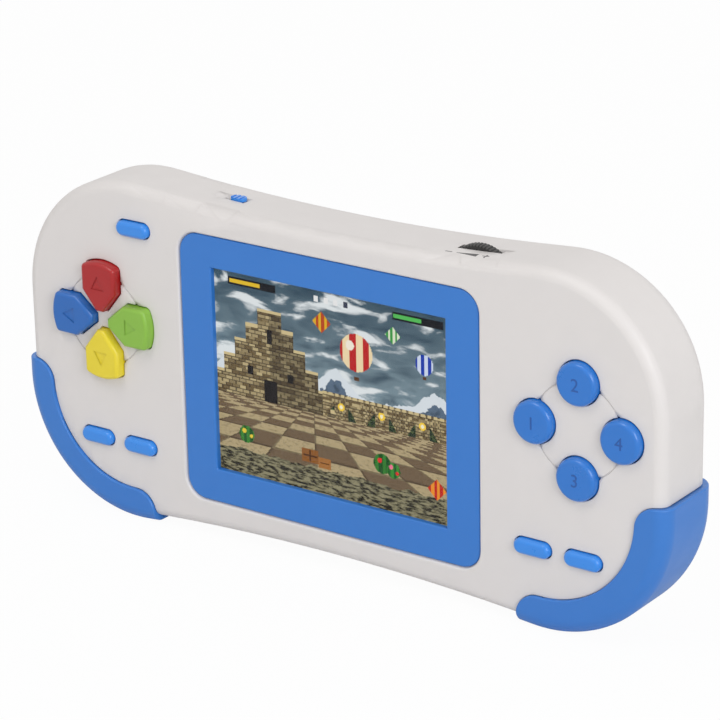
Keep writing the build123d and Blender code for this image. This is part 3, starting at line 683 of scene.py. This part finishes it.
@dataclass(frozen=True)
class LitPicture:
    """Lit display with a generic scene: clouds, peaks, a stepped tower, arches and a yard."""

    name: str
    centre: tuple[float, float]
    width: float = 57.6 * MM
    height: float = 43.2 * MM
    columns: int = 288
    rows: int = 216
    horizon: float = 0.42
    glow: float = 1.02
    roughness: float = 0.35
    shine: float = 0.05
    glass: Colour = srgb(10, 10, 12)
    border: Colour = srgb(14, 15, 18)
    sky_high: Colour = srgb(58, 84, 100)
    sky_low: Colour = srgb(140, 162, 172)
    cloud: Colour = srgb(234, 240, 242)
    cloud_shade: Colour = srgb(42, 66, 84)
    peak: Colour = srgb(92, 112, 134)
    snow: Colour = srgb(226, 234, 240)
    wood: Colour = srgb(38, 52, 34)
    wood_light: Colour = srgb(96, 112, 62)
    stone: Colour = srgb(196, 178, 132)
    stone_dark: Colour = srgb(112, 94, 62)
    joint: Colour = srgb(62, 50, 36)
    opening: Colour = srgb(28, 22, 20)
    tile: Colour = srgb(186, 168, 128)
    tile_dark: Colour = srgb(118, 98, 74)
    rock: Colour = srgb(150, 144, 112)
    rock_dark: Colour = srgb(44, 40, 28)
    cloud_depth: float = 0.8
    ridge_wear: float = 0.06
    snow_depth: float = 0.11
    wood_wear: float = 0.09
    wood_drop: float = 0.01
    bond: float = 0.5
    joint_width: float = 0.14
    joint_height: float = 0.22
    joint_depth: float = 0.8
    tower_middle: float = 0.24
    tower_top: float = 0.83
    tower_foot: float = 0.05
    tower_steps: float = 20.0
    tower_shade: float = 0.45
    step_height: float = 0.082
    ledge_height: float = 0.015
    ledge_light: float = 1.25
    door_width: float = 0.056
    door_top: float = 0.49
    windows: tuple[tuple[float, float, float, float], ...] = (
        (0.085, 0.52, 0.024, 0.044),
        (0.0, 0.70, 0.020, 0.070),
    )
    arch_start: float = 0.46
    arch_middle: float = 0.535
    arch_often: float = 6.06
    arch_top: float = 0.085
    arch_foot: float = 0.06
    arch_curve: float = 9.0
    arch_rise: float = 0.065
    arch_drop: float = 0.02
    arch_inner: float = 0.17
    arch_outer: float = 0.42
    coping_foot: float = 0.070
    coping_often: float = 40.0
    coping_gap: float = 0.35
    coping_light: float = 1.2
    yard_start: float = 0.035
    yard_vanish: float = 0.04
    yard_middle: float = 0.42
    yard_depth: float = 0.9
    yard_wear: float = 0.7
    tiles_across: float = 1.6
    gap_across: float = 0.05
    gap_away: float = 0.10
    gap_depth: float = 0.6
    rock_wear: float = 0.07
    rock_top: float = 0.085
    blob_share: float = 0.6
    stripes: float = 1.6
    bars: tuple[Bar, ...] = (
        Bar(0.17, 0.935, 0.20, 0.036, srgb(12, 12, 18)),
        Bar(0.14, 0.935, 0.13, 0.020, srgb(236, 196, 40)),
        Bar(0.85, 0.935, 0.20, 0.036, srgb(12, 12, 18)),
        Bar(0.81, 0.935, 0.11, 0.020, srgb(86, 196, 90)),
        *(Bar(across, 0.935, 0.018, 0.024, srgb(244, 244, 244)) for across in (0.44, 0.48, 0.52)),
        Bar(0.56, 0.935, 0.018, 0.024, srgb(60, 66, 84)),
        Bar(0.60, 0.598, 0.022, 0.020, srgb(92, 58, 30)),
        Bar(0.875, 0.672, 0.014, 0.014, srgb(92, 58, 30)),
        Bar(0.40, 0.17, 0.070, 0.066, srgb(146, 92, 40)),
        Bar(0.40, 0.17, 0.058, 0.008, srgb(84, 50, 22)),
        Bar(0.40, 0.17, 0.008, 0.054, srgb(84, 50, 22)),
        Bar(0.46, 0.15, 0.052, 0.048, srgb(170, 112, 54)),
        Bar(0.46, 0.15, 0.040, 0.006, srgb(84, 50, 22)),
    )
    blobs: tuple[Blob, ...] = (
        Blob(0.60, 0.72, 0.115, srgb(196, 30, 30), srgb(250, 226, 180)),
        Blob(0.575, 0.75, 0.030, srgb(255, 244, 226)),
        Blob(0.875, 0.735, 0.062, srgb(28, 62, 176), srgb(214, 226, 250)),
        Blob(0.46, 0.83, 0.050, srgb(232, 180, 30), srgb(190, 70, 20), True),
        Blob(0.75, 0.84, 0.040, srgb(60, 160, 70), srgb(230, 240, 210), True),
        *(
            Blob(across, 0.445, size, colour) for across in (0.535, 0.70, 0.865)
            for size, colour in ((0.024, srgb(255, 214, 70)), (0.011, srgb(255, 250, 220)))
        ),
        Blob(0.70, 0.22, 0.062, srgb(22, 82, 26), srgb(52, 128, 44)),
        Blob(0.745, 0.20, 0.048, srgb(58, 146, 48), srgb(30, 96, 34)),
        Blob(0.69, 0.235, 0.016, srgb(228, 40, 40)),
        Blob(0.735, 0.215, 0.014, srgb(244, 120, 150)),
        Blob(0.76, 0.19, 0.012, srgb(228, 40, 40)),
        Blob(0.13, 0.20, 0.055, srgb(26, 88, 30), srgb(62, 136, 50)),
        Blob(0.12, 0.215, 0.014, srgb(240, 210, 60)),
        Blob(0.15, 0.195, 0.012, srgb(240, 210, 60)),
        Blob(0.92, 0.16, 0.050, srgb(200, 36, 26), srgb(246, 150, 40), True),
    )

    def _sky(self, canvas: Canvas) -> Sock:
        """Paint the sky with torn clouds.

        Args:
            canvas: where it is painted.

        Returns:
            The sky's colour.
        """
        tree = canvas.tree
        puff = canvas.noise(wide=4.0, high=9.0, detail=7.0, scale=1.5, stretch=0.5)
        height = (canvas.up - self.horizon) / (1 - self.horizon)
        sky = tree.mix(height, self.sky_low, self.sky_high)
        shaded = tree.mix(puff.ramp(0.5, slope=-5.0) * self.cloud_depth, sky, self.cloud_shade)
        return tree.mix(puff.ramp(0.53, slope=11.0), shaded, self.cloud)

    def _hills(self, canvas: Canvas, sky: Sock) -> Sock:
        """Paint snowy peaks and a wood in front of the sky.

        Args:
            canvas: where they are painted.
            sky: what is painted so far.

        Returns:
            The colour with the peaks and the wood.
        """
        tree, up = canvas.tree, canvas.up
        ragged = canvas.noise(wide=26.0, high=0.0, detail=4.0)
        ridge = canvas.peaks(5.2, high=0.13, shift=0.3) + canvas.peaks(9.0, high=0.05, shift=0.5)
        top = ridge + ragged * self.ridge_wear + self.horizon
        crag = canvas.noise(wide=40.0, high=24.0, detail=4.0)
        rocks = tree.mix(crag.ramp(0.5, slope=6.0), self.peak, shade(self.peak, 0.5))
        capped = tree.mix(up > top - crag * self.snow_depth, rocks, self.snow)
        crowns = canvas.peaks(60.0, high=0.018) + ragged * self.wood_wear
        leaves = canvas.noise(wide=90.0, high=70.0, detail=2.0)
        wood = tree.mix(leaves.ramp(0.5, slope=5.0), self.wood, self.wood_light)
        wooded = up < crowns + self.horizon - self.wood_drop
        return tree.mix(wooded, tree.mix(up < top, sky, capped), wood)

    def _bricks(self, canvas: Canvas, wide: float, high: float) -> Sock:
        """Lay bricks of uneven colour with dark joints.

        Args:
            canvas: where they are painted.
            wide: bricks in a row.
            high: rows of bricks.

        Returns:
            The wall's colour.
        """
        tree = canvas.tree
        row = canvas.up * high
        column = canvas.across * wide + row.floor() * self.bond
        each = Canvas(tree, column.floor(), row.floor()).noise(wide=0.73, high=0.91, detail=0.0)
        lit = tree.mix(each.ramp(0.4, slope=4.0), self.stone_dark, self.stone)
        joints = (column.fraction() < self.joint_width).either(row.fraction() < self.joint_height)
        return tree.mix(joints * self.joint_depth, lit, self.joint)

    def _tower(self, canvas: Canvas, behind: Sock) -> Sock:
        """Paint a stepped tower on the left, with a door, windows and one side in the shade.

        Args:
            canvas: where it is painted.
            behind: what is painted so far.

        Returns:
            The colour with the tower.
        """
        tree, across, up = canvas.tree, canvas.across, canvas.up
        from_middle = abs(across - self.tower_middle)
        level = (from_middle * self.tower_steps).floor() * self.step_height
        inside = (up < self.tower_top - level) * (up > self.horizon - self.tower_foot)
        ledge = up > self.tower_top - self.ledge_height - level
        dark = (from_middle < self.door_width / 2) * (up < self.door_top)
        folded = Canvas(tree, from_middle, up)
        for window in self.windows:
            dark = dark.either(folded.box(*window))
        wall = self._bricks(canvas, wide=34.0, high=60.0)
        shaded = tree.mix((across > self.tower_middle) * self.tower_shade, wall, self.opening)
        trimmed = tree.mix(ledge, shaded, shade(self.stone, self.ledge_light))
        return tree.mix(inside, behind, tree.mix(dark, trimmed, self.opening))

    def _arches(self, canvas: Canvas, behind: Sock) -> Sock:
        """Paint a row of arches on the right.

        Args:
            canvas: where they are painted.
            behind: what is painted so far.

        Returns:
            The colour with the arches.
        """
        tree, across, up = canvas.tree, canvas.across, canvas.up
        below = up < self.horizon + self.arch_top
        inside = (across > self.arch_start) * below * (up > self.horizon - self.arch_foot)
        bay = ((across - self.arch_middle) * self.arch_often + 0.5).fraction() - 0.5
        crown = 1.0 - bay * bay * self.arch_curve
        open_below = up < crown * self.arch_rise + self.horizon - self.arch_drop
        pierced = open_below * (abs(bay) > self.arch_inner) * (abs(bay) < self.arch_outer)
        wall = self._bricks(canvas, wide=70.0, high=80.0)
        teeth = (up > self.horizon + self.coping_foot) * (across * self.coping_often).fraction()
        capped = tree.mix(teeth > self.coping_gap, wall, shade(self.stone, self.coping_light))
        return tree.mix(inside * (1 - pierced), behind, capped)

    def _yard(self, canvas: Canvas, behind: Sock) -> Sock:
        """Paint a tiled yard that runs towards the horizon, and broken rock at the bottom.

        Args:
            canvas: where it is painted.
            behind: what is painted so far.

        Returns:
            The colour with the yard.
        """
        tree, up = canvas.tree, canvas.up
        drop = self.horizon + self.yard_vanish - up
        away = self.yard_depth / drop
        sideways = (canvas.across - self.yard_middle) / drop * self.tiles_across
        checker = ((sideways.floor() + away.floor()) * 0.5).fraction() * 2.0
        gaps = (sideways.fraction() < self.gap_across).either(away.fraction() < self.gap_away)
        worn = canvas.noise(wide=60.0, high=90.0, detail=4.0).ramp(0.5, slope=3.0)
        tiles = tree.mix(checker, self.tile, self.tile_dark)
        rough = tree.mix(worn * self.yard_wear, tiles, self.joint)
        paved = tree.mix(gaps * self.gap_depth, rough, self.joint)
        laid = tree.mix(up < self.horizon - self.yard_start, behind, paved)
        crumbs = canvas.noise(wide=30.0, high=85.0, detail=5.0, stretch=0.6)
        broken = tree.mix(crumbs.ramp(0.42, slope=6.0), self.rock_dark, self.rock)
        edge = canvas.noise(wide=14.0, high=0.0, detail=3.0) * self.rock_wear + self.rock_top
        return tree.mix(up < edge, laid, broken)

    def _figures(self, canvas: Canvas, behind: Sock) -> Sock:
        """Paint the balloons, kites, lamps, shrubs and crates, and the plain bars.

        Args:
            canvas: where they are painted.
            behind: what is painted so far.

        Returns:
            The whole picture's colour.
        """
        tree = canvas.tree
        aspect = self.width / self.height
        for blob in self.blobs:
            right = (canvas.across - blob.across) * aspect
            high = canvas.up - blob.up
            if blob.diamond:
                inside = abs(right) + abs(high) < blob.size
            else:
                inside = right * right + high * high < blob.size**2 * self.blob_share
            colour = blob.colour
            if blob.stripe:
                striped = (right * (self.stripes / blob.size)).fraction() < 0.5
                colour = tree.mix(striped, blob.colour, blob.stripe)
            behind = tree.mix(inside, behind, colour)
        for bar in self.bars:
            inside = canvas.box(bar.across, bar.up, bar.length, bar.height)
            behind = tree.mix(inside, behind, bar.colour)
        return behind

    def make(self) -> bpy.types.Material:
        """Build the material.

        Returns:
            The finished material.
        """
        tree = Tree(self.name)
        x, _, z = tree.parts(tree.place())
        across = (x - (self.centre[0] - self.width / 2)) / self.width
        up = (z - (self.centre[1] - self.height / 2)) / self.height
        canvas = Canvas(
            tree,
            ((across * self.columns).floor() + 0.5) / self.columns,
            ((up * self.rows).floor() + 0.5) / self.rows,
        )
        picture = self._sky(canvas)
        for paint in (self._hills, self._tower, self._arches, self._yard, self._figures):
            picture = paint(canvas, picture)
        lit = Canvas(tree, across, up).box(0.5, 0.5, 1.0, 1.0)
        return tree.surface(
            Base_Color=self.glass,
            Roughness=self.roughness,
            Specular_IOR_Level=self.shine,
            Emission_Color=tree.mix(lit, self.border, picture),
            Emission_Strength=self.glow,
        )


class Finish(Enum):
    """Every finish of the console, by the record's material slot."""

    casing_white = MouldedPlastic("casing_white", srgb(226, 221, 218), srgb(219, 214, 212), 0.46)
    grip_blue = MouldedPlastic("grip_blue", srgb(50, 122, 205), srgb(46, 116, 197), 0.42, coat=0.2)
    bezel_blue = MouldedPlastic(
        "bezel_blue", srgb(46, 122, 206), srgb(42, 116, 199), 0.38, coat=0.2,
    )
    key_red = MouldedPlastic("key_red", srgb(173, 16, 19), srgb(164, 12, 15), 0.38, coat=0.2)
    key_green = MouldedPlastic("key_green", srgb(140, 190, 66), srgb(131, 180, 60), 0.38, coat=0.2)
    key_yellow = MouldedPlastic(
        "key_yellow", srgb(236, 216, 46), srgb(228, 205, 40), 0.38, coat=0.2,
    )
    key_blue = MouldedPlastic("key_blue", srgb(34, 118, 206), srgb(30, 112, 198), 0.3, coat=0.3)
    pad_blue = MouldedPlastic("pad_blue", srgb(30, 104, 186), srgb(26, 98, 178), 0.36, coat=0.2)
    long_key_blue = MouldedPlastic(
        "long_key_blue", srgb(50, 141, 233), srgb(45, 134, 226), 0.3, coat=0.3,
    )
    print_grey = MouldedPlastic("print_grey", srgb(74, 72, 72), srgb(92, 90, 90), 0.5)
    print_blue = MouldedPlastic("print_blue", srgb(30, 88, 166), srgb(28, 82, 156), 0.4)
    part_black = MouldedPlastic("part_black", srgb(34, 34, 36), srgb(26, 26, 28), 0.5)
    chip_black = MouldedPlastic("chip_black", srgb(30, 30, 32), srgb(42, 42, 44), 0.55, 0.00001)
    tray_grey = MouldedPlastic("tray_grey", srgb(150, 150, 152), srgb(136, 136, 140), 0.5)
    ribbon_film = MouldedPlastic(
        "ribbon_film", srgb(196, 122, 44), srgb(172, 98, 34), 0.3, 0.00002, 500.0,
    )
    steel = PlatedSteel("steel", srgb(176, 176, 178))
    contact_steel = PlatedSteel("contact_steel", srgb(196, 192, 184), 0.25)
    can_aluminium = PlatedSteel("can_aluminium", srgb(188, 188, 192), 0.28)
    membrane_rubber = Silicone("membrane_rubber", srgb(188, 190, 190))
    board_green = SolderMask(
        "board_green", srgb(24, 92, 52), srgb(34, 116, 66), srgb(206, 200, 186),
    )
    lens_clear = ClearWindow("lens_clear")


@dataclass(frozen=True)
class Rim:
    """Front rim of an upright opening in the middle of the console."""

    width: float
    height: float
    middle_z: float


@dataclass
class Workshop:
    """What every sub-assembly uses: one material per finish, soft copies of nodes, and names."""

    materials: dict[str, bpy.types.Material] = field(default_factory=dict)
    crisp_angle: float = 40.0
    flat_angle: float = 0.02
    merge_distance: float = 0.002 * MM
    rim_reach: float = 0.05 * MM
    rim_radius: float = 0.32 * MM
    rim_segments: int = 4
    edge_segments: int = 2

    def __post_init__(self) -> None:
        """Read which slot and body each node has, and make the shared materials."""
        self.slots = {part["node"]: part["material_slot"] for part in frame["record"]["subparts"]}
        bodies = frame["record"]["behaviour"]["bodies"]
        self.bodies = {node: body for body, nodes in bodies.items() for node in nodes}
        for finish in Finish:
            self.materials[finish.name] = finish.value.make()

    def dress(self, node: str) -> None:
        """Give a node that stays the material of its own slot.

        Args:
            node: the node's name.
        """
        for slot in frame["nodes"][node].material_slots:
            slot.material = self.materials[self.slots[node]]
        log.info("dressed %s", node)

    def piece(
        self, name: str, work: bmesh.types.BMesh, node: str, finish: str = "",
    ) -> bpy.types.Object:
        """Make a piece that rides with a node's body and has the material of its slot.

        Args:
            name: the piece's name.
            work: the shape, which is freed.
            node: the node whose body and slot it takes.
            finish: another finish than the slot's own.

        Returns:
            The piece.
        """
        mesh = bpy.data.meshes.new(name)
        work.to_mesh(mesh)
        work.free()
        mesh.polygons.foreach_set("use_smooth", [True] * len(mesh.polygons))
        mesh.set_sharp_from_angle(angle=radians(self.crisp_angle))
        mesh.materials.append(self.materials[finish or self.slots[node]])
        made = bpy.data.objects.new(name, mesh)
        bpy.context.scene.collection.objects.link(made)
        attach(made, self.bodies[node])
        log.info("made %s with %d faces", name, len(mesh.polygons))
        return made

    def _copy(self, node: str, join: bool = True) -> bmesh.types.BMesh:
        """Copy a node's shape, with its loose triangles merged.

        Args:
            node: the node's name.
            join: whether the triangles of a flat face become one face.

        Returns:
            The copy.
        """
        work = bmesh.new()
        work.from_mesh(frame["nodes"][node].data)
        bmesh.ops.remove_doubles(work, verts=work.verts, dist=self.merge_distance)
        if join:
            bmesh.ops.dissolve_limit(
                work, angle_limit=radians(self.flat_angle), verts=work.verts, edges=work.edges,
            )
        return work

    def _stand_in(self, made: bpy.types.Object, node: str) -> None:
        """Shade a piece evenly and put it in a node's place.

        Args:
            made: the piece.
            node: the node's name.
        """
        shading = made.modifiers.new("shading", "WEIGHTED_NORMAL")
        shading.keep_sharp = True
        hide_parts(node)

    def smooth(self, node: str, finish: str = "", join: bool = True) -> None:
        """Put a copy in a node's place, whose curves are shaded smooth and whose edges stay crisp.

        Args:
            node: the node's name.
            finish: another finish than the slot's own.
            join: whether the triangles of a flat face become one face.
        """
        self._stand_in(self.piece(f"{node}_finished", self._copy(node, join), node, finish), node)

    def _round_rim(self, work: bmesh.types.BMesh, rim: Rim) -> None:
        """Round the front rim of an opening.

        Args:
            work: the shape.
            rim: the opening.
        """
        front = min(vert.co.y for vert in work.verts)
        on_rim = {
            vert for vert in work.verts
            if vert.co.y < front + self.rim_reach
            and abs(vert.co.x) < rim.width / 2 + self.rim_reach
            and abs(vert.co.z - rim.middle_z) < rim.height / 2 + self.rim_reach
        }
        bmesh.ops.bevel(
            work, geom=[edge for edge in work.edges if on_rim.issuperset(edge.verts)],
            offset=self.rim_radius, segments=self.rim_segments, profile=0.5, affect="EDGES",
            material=-1,
        )

    def soften(self, node: str, radius: float, finish: str = "", rim: Rim | None = None) -> None:
        """Put a copy in a node's place, whose sharp edges are rounded too.

        Args:
            node: the node's name.
            radius: how far an edge is rounded.
            finish: another finish than the slot's own.
            rim: an opening whose front rim is rounded more.
        """
        work = self._copy(node)
        if rim:
            self._round_rim(work, rim)
        made = self.piece(f"{node}_finished", work, node, finish)
        rounding = made.modifiers.new("rounding", "BEVEL")
        rounding.width = radius
        rounding.segments = self.edge_segments
        rounding.limit_method = "ANGLE"
        rounding.angle_limit = radians(self.crisp_angle)
        rounding.use_clamp_overlap = True
        self._stand_in(made, node)


@dataclass
class Housing:
    """Both casings, the grips and the printed marks in front of the wheel."""

    shop: Workshop
    mark_y: float = 2.7 * MM
    mark_length: float = 1.5 * MM
    mark_width: float = 0.32 * MM
    minus_x: float = 27.1 * MM
    plus_x: float = 35.3 * MM
    wedge_start: float = 28.8 * MM
    wedge_end: float = 33.5 * MM
    wedge_width: float = 1.3 * MM
    ink: float = 0.02 * MM
    mark_columns: int = 12
    mark_rows: int = 4
    ray_height: float = 1.0

    def _print(self, name: str, length: float, start: float, end: float, x: float) -> None:
        """Print a bar or a wedge on the top wall, following its curve.

        Args:
            name: the piece's name.
            length: its length along the wall.
            start: its width at the left end.
            end: its width at the right end.
            x: where its middle lies.
        """
        face_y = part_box("front_casing")[0].y
        work = bmesh.new()
        work.from_mesh(frame["nodes"]["front_casing"].data)
        skin = BVHTree.FromBMesh(work)
        work.clear()
        bmesh.ops.create_grid(
            work, x_segments=self.mark_columns, y_segments=self.mark_rows, size=0.5,
        )
        for vert in work.verts:
            width = start + (end - start) * (vert.co.x + 0.5)
            y = face_y + self.mark_y + vert.co.y * width
            place = Vector((x + vert.co.x * length, y, self.ray_height))
            hit = skin.ray_cast(place, Vector((0, 0, -1)))[0]
            vert.co = (place.x, place.y, hit.z + self.ink / 2)
        bmesh.ops.solidify(work, geom=work.faces[:], thickness=self.ink)
        bmesh.ops.recalc_face_normals(work, faces=work.faces)
        self.shop.piece(name, work, "front_casing", "print_grey")

    def build(self) -> None:
        """Build the housing."""
        for node in ("front_casing", "rear_casing", "battery_cover", "left_grip", "right_grip"):
            self.shop.smooth(node, join=node != "front_casing")
        long, thin = self.mark_length, self.mark_width
        self._print("minus_mark", long, thin, thin, self.minus_x)
        self._print("plus_mark_bar", long, thin, thin, self.plus_x)
        self._print("plus_mark_post", thin, long, long, self.plus_x)
        length = self.wedge_end - self.wedge_start
        middle = (self.wedge_start + self.wedge_end) / 2
        self._print("wedge_mark", length, thin / 2, self.wedge_width, middle)


@dataclass
class Screen:
    """Bezel, lens and lit display."""

    shop: Workshop
    window_width: float = 55.2 * MM
    window_height: float = 42.4 * MM
    bezel_edge: float = 0.1 * MM

    def build(self) -> None:
        """Build the screen."""
        low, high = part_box("display_panel")
        centre = ((low.x + high.x) / 2, (low.z + high.z) / 2)
        self.shop.materials["display"] = LitPicture("display", centre).make()
        low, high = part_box("screen_lens")
        window = Rim(self.window_width, self.window_height, (low.z + high.z) / 2)
        self.shop.soften("screen_bezel", self.bezel_edge, rim=window)
        for node in ("screen_lens", "display_panel", "display_tray", "display_ribbon"):
            self.shop.dress(node)


@dataclass
class Keys:
    """Direction keys, numbered round keys and long keys."""

    shop: Workshop
    numeral_size: float = 3.6 * MM
    numeral_height: float = 0.03 * MM
    numeral_merge: float = 0.001 * MM
    numerals: tuple[tuple[str, str], ...] = (
        ("left", "1"), ("up", "2"), ("down", "3"), ("right", "4"),
    )
    directions: tuple[str, ...] = ("up", "left", "right", "down")
    long_keys: tuple[str, ...] = (
        "reset_key", "left_pair_outer_key", "left_pair_inner_key",
        "right_pair_inner_key", "right_pair_outer_key",
    )

    def _numeral(self, way: str, digit: str) -> None:
        """Print a number on a round key.

        Args:
            way: which round key.
            digit: the number.
        """
        node = f"action_key_{way}"
        low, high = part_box(node)
        letters = bpy.data.curves.new(f"numeral_{digit}", "FONT")
        letters.body = digit
        letters.size = self.numeral_size
        letters.extrude = self.numeral_height
        letters.align_x = "CENTER"
        draft = bpy.data.objects.new("numeral_draft", letters)
        work = bmesh.new()
        work.from_mesh(draft.to_mesh())
        bpy.data.objects.remove(draft)
        bmesh.ops.remove_doubles(work, verts=work.verts, dist=self.numeral_merge)
        tops = [vert.co.y for vert in work.verts]
        sides = [vert.co.x for vert in work.verts]
        middle = Vector(((max(sides) + min(sides)) / 2, (max(tops) + min(tops)) / 2, 0))
        bmesh.ops.translate(work, verts=work.verts, vec=-middle)
        bmesh.ops.rotate(work, verts=work.verts, matrix=Matrix.Rotation(radians(90), 3, "X"))
        place = Vector(((low.x + high.x) / 2, low.y, (low.z + high.z) / 2))
        bmesh.ops.translate(work, verts=work.verts, vec=place)
        bmesh.ops.recalc_face_normals(work, faces=work.faces)
        self.shop.piece(f"numeral_{digit}", work, node, "print_blue")

    def build(self) -> None:
        """Build the keys and the rubber under them."""
        for way in self.directions:
            self.shop.smooth(f"{way}_key", "pad_blue" if way == "left" else "")
            self.shop.smooth(f"action_key_{way}")
        for node in self.long_keys:
            self.shop.smooth(node, "long_key_blue")
        for way, digit in self.numerals:
            self._numeral(way, digit)
        for node in frame["nodes"]:
            if node.endswith("_membrane"):
                self.shop.dress(node)


@dataclass
class Controls:
    """Volume wheel and power switch in the top wall."""

    shop: Workshop
    knob_edge: float = 0.12 * MM

    def build(self) -> None:
        """Build the controls."""
        low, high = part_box("volume_wheel")
        centre = ((low.x + high.x) / 2, (low.z + high.z) / 2)
        wheel = RibbedRim("wheel_black", centre, (high.x - low.x) / 2)
        self.shop.materials["wheel_black"] = wheel.make()
        self.shop.smooth("volume_wheel")
        self.shop.soften("switch_knob", self.knob_edge, "long_key_blue")
        for node in ("volume_potentiometer", "wheel_clip", "switch_body"):
            self.shop.dress(node)


@dataclass
class Inside:
    """Board, speaker, cells and screws."""

    shop: Workshop
    cell_end: float = 1.3 * MM
    cell_band: float = 12 * MM
    cone_depth: float = 1.2 * MM

    def build(self) -> None:
        """Dress what lies inside."""
        shop = self.shop
        low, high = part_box("battery_cell_middle")
        shop.materials["cell_jacket"] = CellJacket(
            "cell_jacket", srgb(40, 44, 52), srgb(196, 140, 60), srgb(200, 200, 202),
            (high.x - low.x) / 2 - self.cell_end, low.x + self.cell_band,
        ).make()
        low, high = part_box("speaker")
        shop.materials["speaker_grey"] = SpeakerCone(
            "speaker_grey", srgb(120, 122, 126), srgb(44, 44, 46), high.y - self.cone_depth,
        ).make()
        for node in (
            "main_board", "main_chip", "memory_chip", "capacitors", "speaker",
            "battery_contacts_left", "battery_contacts_right", "board_screws",
        ):
            shop.dress(node)
        for node in (
            "battery_cell_upper", "battery_cell_middle", "battery_cell_lower", "casing_screws",
        ):
            shop.smooth(node)


@dataclass(frozen=True)
class Lamp:
    """A square soft lamp that points at the console, with its power in watts."""

    name: str
    place: tuple[float, float, float]
    size: float
    power: float
    colour: Colour


@dataclass
class Studio:
    """Floor, world, lamps and the camera of the photograph."""

    camera_offset: tuple[float, float, float] = (339.374 * MM, -459.413 * MM, 218.643 * MM)
    yaw: float = 35.775
    pitch: float = 20.287
    roll: float = -1.117
    lens: float = 158.66
    sensor: float = 36.0
    nearest: float = 0.01
    farthest: float = 100.0
    floor_size: float = 6.0
    floor_shade: float = 0.85
    floor_white: float = 0.96
    world_strength: float = 0.61
    aim_height: float = 0.04
    lamps: tuple[Lamp, ...] = (
        Lamp("right_lamp", (0.9, -0.52, 0.5), 0.5, 4.7, (0.94, 0.97, 1.0)),
        Lamp("top_lamp", (-0.15, -0.55, 0.95), 0.4, 2.2, (1.0, 0.99, 0.97)),
    )

    def camera(self) -> None:
        """Stand the camera where the photograph's stood, counted from the window's middle."""
        yaw, pitch, roll = (radians(angle) for angle in (self.yaw, self.pitch, self.roll))
        back = Vector((sin(yaw) * cos(pitch), -cos(yaw) * cos(pitch), sin(pitch)))
        right = Vector((cos(yaw), sin(yaw), 0))
        up = right.cross(-back)
        turned_right = cos(roll) * right + sin(roll) * up
        turned_up = cos(roll) * up - sin(roll) * right
        data = bpy.data.cameras.new("camera")
        data.lens = self.lens
        data.sensor_width = self.sensor
        data.clip_start = self.nearest
        data.clip_end = self.farthest
        made = bpy.data.objects.new("camera", data)
        low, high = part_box("screen_lens")
        window = Vector((0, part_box("front_casing")[0].y, (low.z + high.z) / 2))
        turn = Matrix((turned_right, turned_up, back)).transposed().to_4x4()
        made.matrix_world = Matrix.Translation(window + Vector(self.camera_offset)) @ turn
        bpy.context.scene.collection.objects.link(made)
        bpy.context.scene.camera = made

    def floor(self) -> None:
        """Lay a pale floor that shows white to the camera and keeps the soft shadow."""
        tree = Tree("floor")
        rays = tree.add("ShaderNodeLightPath")
        seen = Sock(tree, rays.link.node.outputs["Is Camera Ray"])
        cloth = tree.add("ShaderNodeBsdfDiffuse", None, {"Color": (self.floor_shade,) * 3})
        white = tree.add("ShaderNodeEmission", None, {"Color": (1.0, 1.0, 1.0), "Strength": 1.0})
        shown = seen * self.floor_white
        tree.close(tree.add("ShaderNodeMixShader", None, {0: shown, 1: cloth, 2: white}))
        work = bmesh.new()
        bmesh.ops.create_grid(work, x_segments=1, y_segments=1, size=self.floor_size / 2)
        mesh = bpy.data.meshes.new("floor")
        work.to_mesh(mesh)
        work.free()
        mesh.materials.append(tree.material)
        made = bpy.data.objects.new("floor", mesh)
        bpy.context.scene.collection.objects.link(made)

    def world(self) -> None:
        """Light the object from all round, and show white behind it."""
        made = bpy.data.worlds.new("world")
        made.use_nodes = True
        bpy.context.scene.world = made
        nodes, links = made.node_tree.nodes, made.node_tree.links
        back = nodes["Background"]
        rays = nodes.new("ShaderNodeLightPath")
        total = rays.outputs["Is Camera Ray"]
        for name in ("Is Glossy Ray", "Is Transmission Ray"):
            more = nodes.new("ShaderNodeMath")
            more.operation = "MAXIMUM"
            links.new(total, more.inputs[0])
            links.new(rays.outputs[name], more.inputs[1])
            total = more.outputs[0]
        level = nodes.new("ShaderNodeMapRange")
        links.new(total, level.inputs["Value"])
        level.inputs["To Min"].default_value = self.world_strength
        links.new(level.outputs[0], back.inputs["Strength"])
        back.inputs["Color"].default_value = (1.0, 1.0, 1.0, 1.0)

    def hang(self, lamp: Lamp) -> None:
        """Hang a lamp.

        Args:
            lamp: the lamp.
        """
        data = bpy.data.lights.new(lamp.name, "AREA")
        data.size = lamp.size
        data.energy = lamp.power
        data.color = lamp.colour
        made = bpy.data.objects.new(lamp.name, data)
        place = Vector(lamp.place)
        turn = (Vector((0, 0, self.aim_height)) - place).to_track_quat("-Z", "Y")
        made.matrix_world = Matrix.Translation(place) @ turn.to_matrix().to_4x4()
        bpy.context.scene.collection.objects.link(made)

    def build(self) -> None:
        """Build the studio."""
        bpy.context.scene.view_settings.view_transform = "Standard"
        self.camera()
        self.floor()
        self.world()
        for lamp in self.lamps:
            self.hang(lamp)
        log.info("set up the studio")


def main() -> None:
    """Build every sub-assembly in order."""
    logging.basicConfig(level=logging.INFO, format="%(message)s")
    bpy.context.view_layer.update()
    shop = Workshop()
    assemblies = Housing(shop), Screen(shop), Keys(shop), Controls(shop), Inside(shop), Studio()
    for assembly in assemblies:
        assembly.build()


if __name__ == "__main__":
    main()
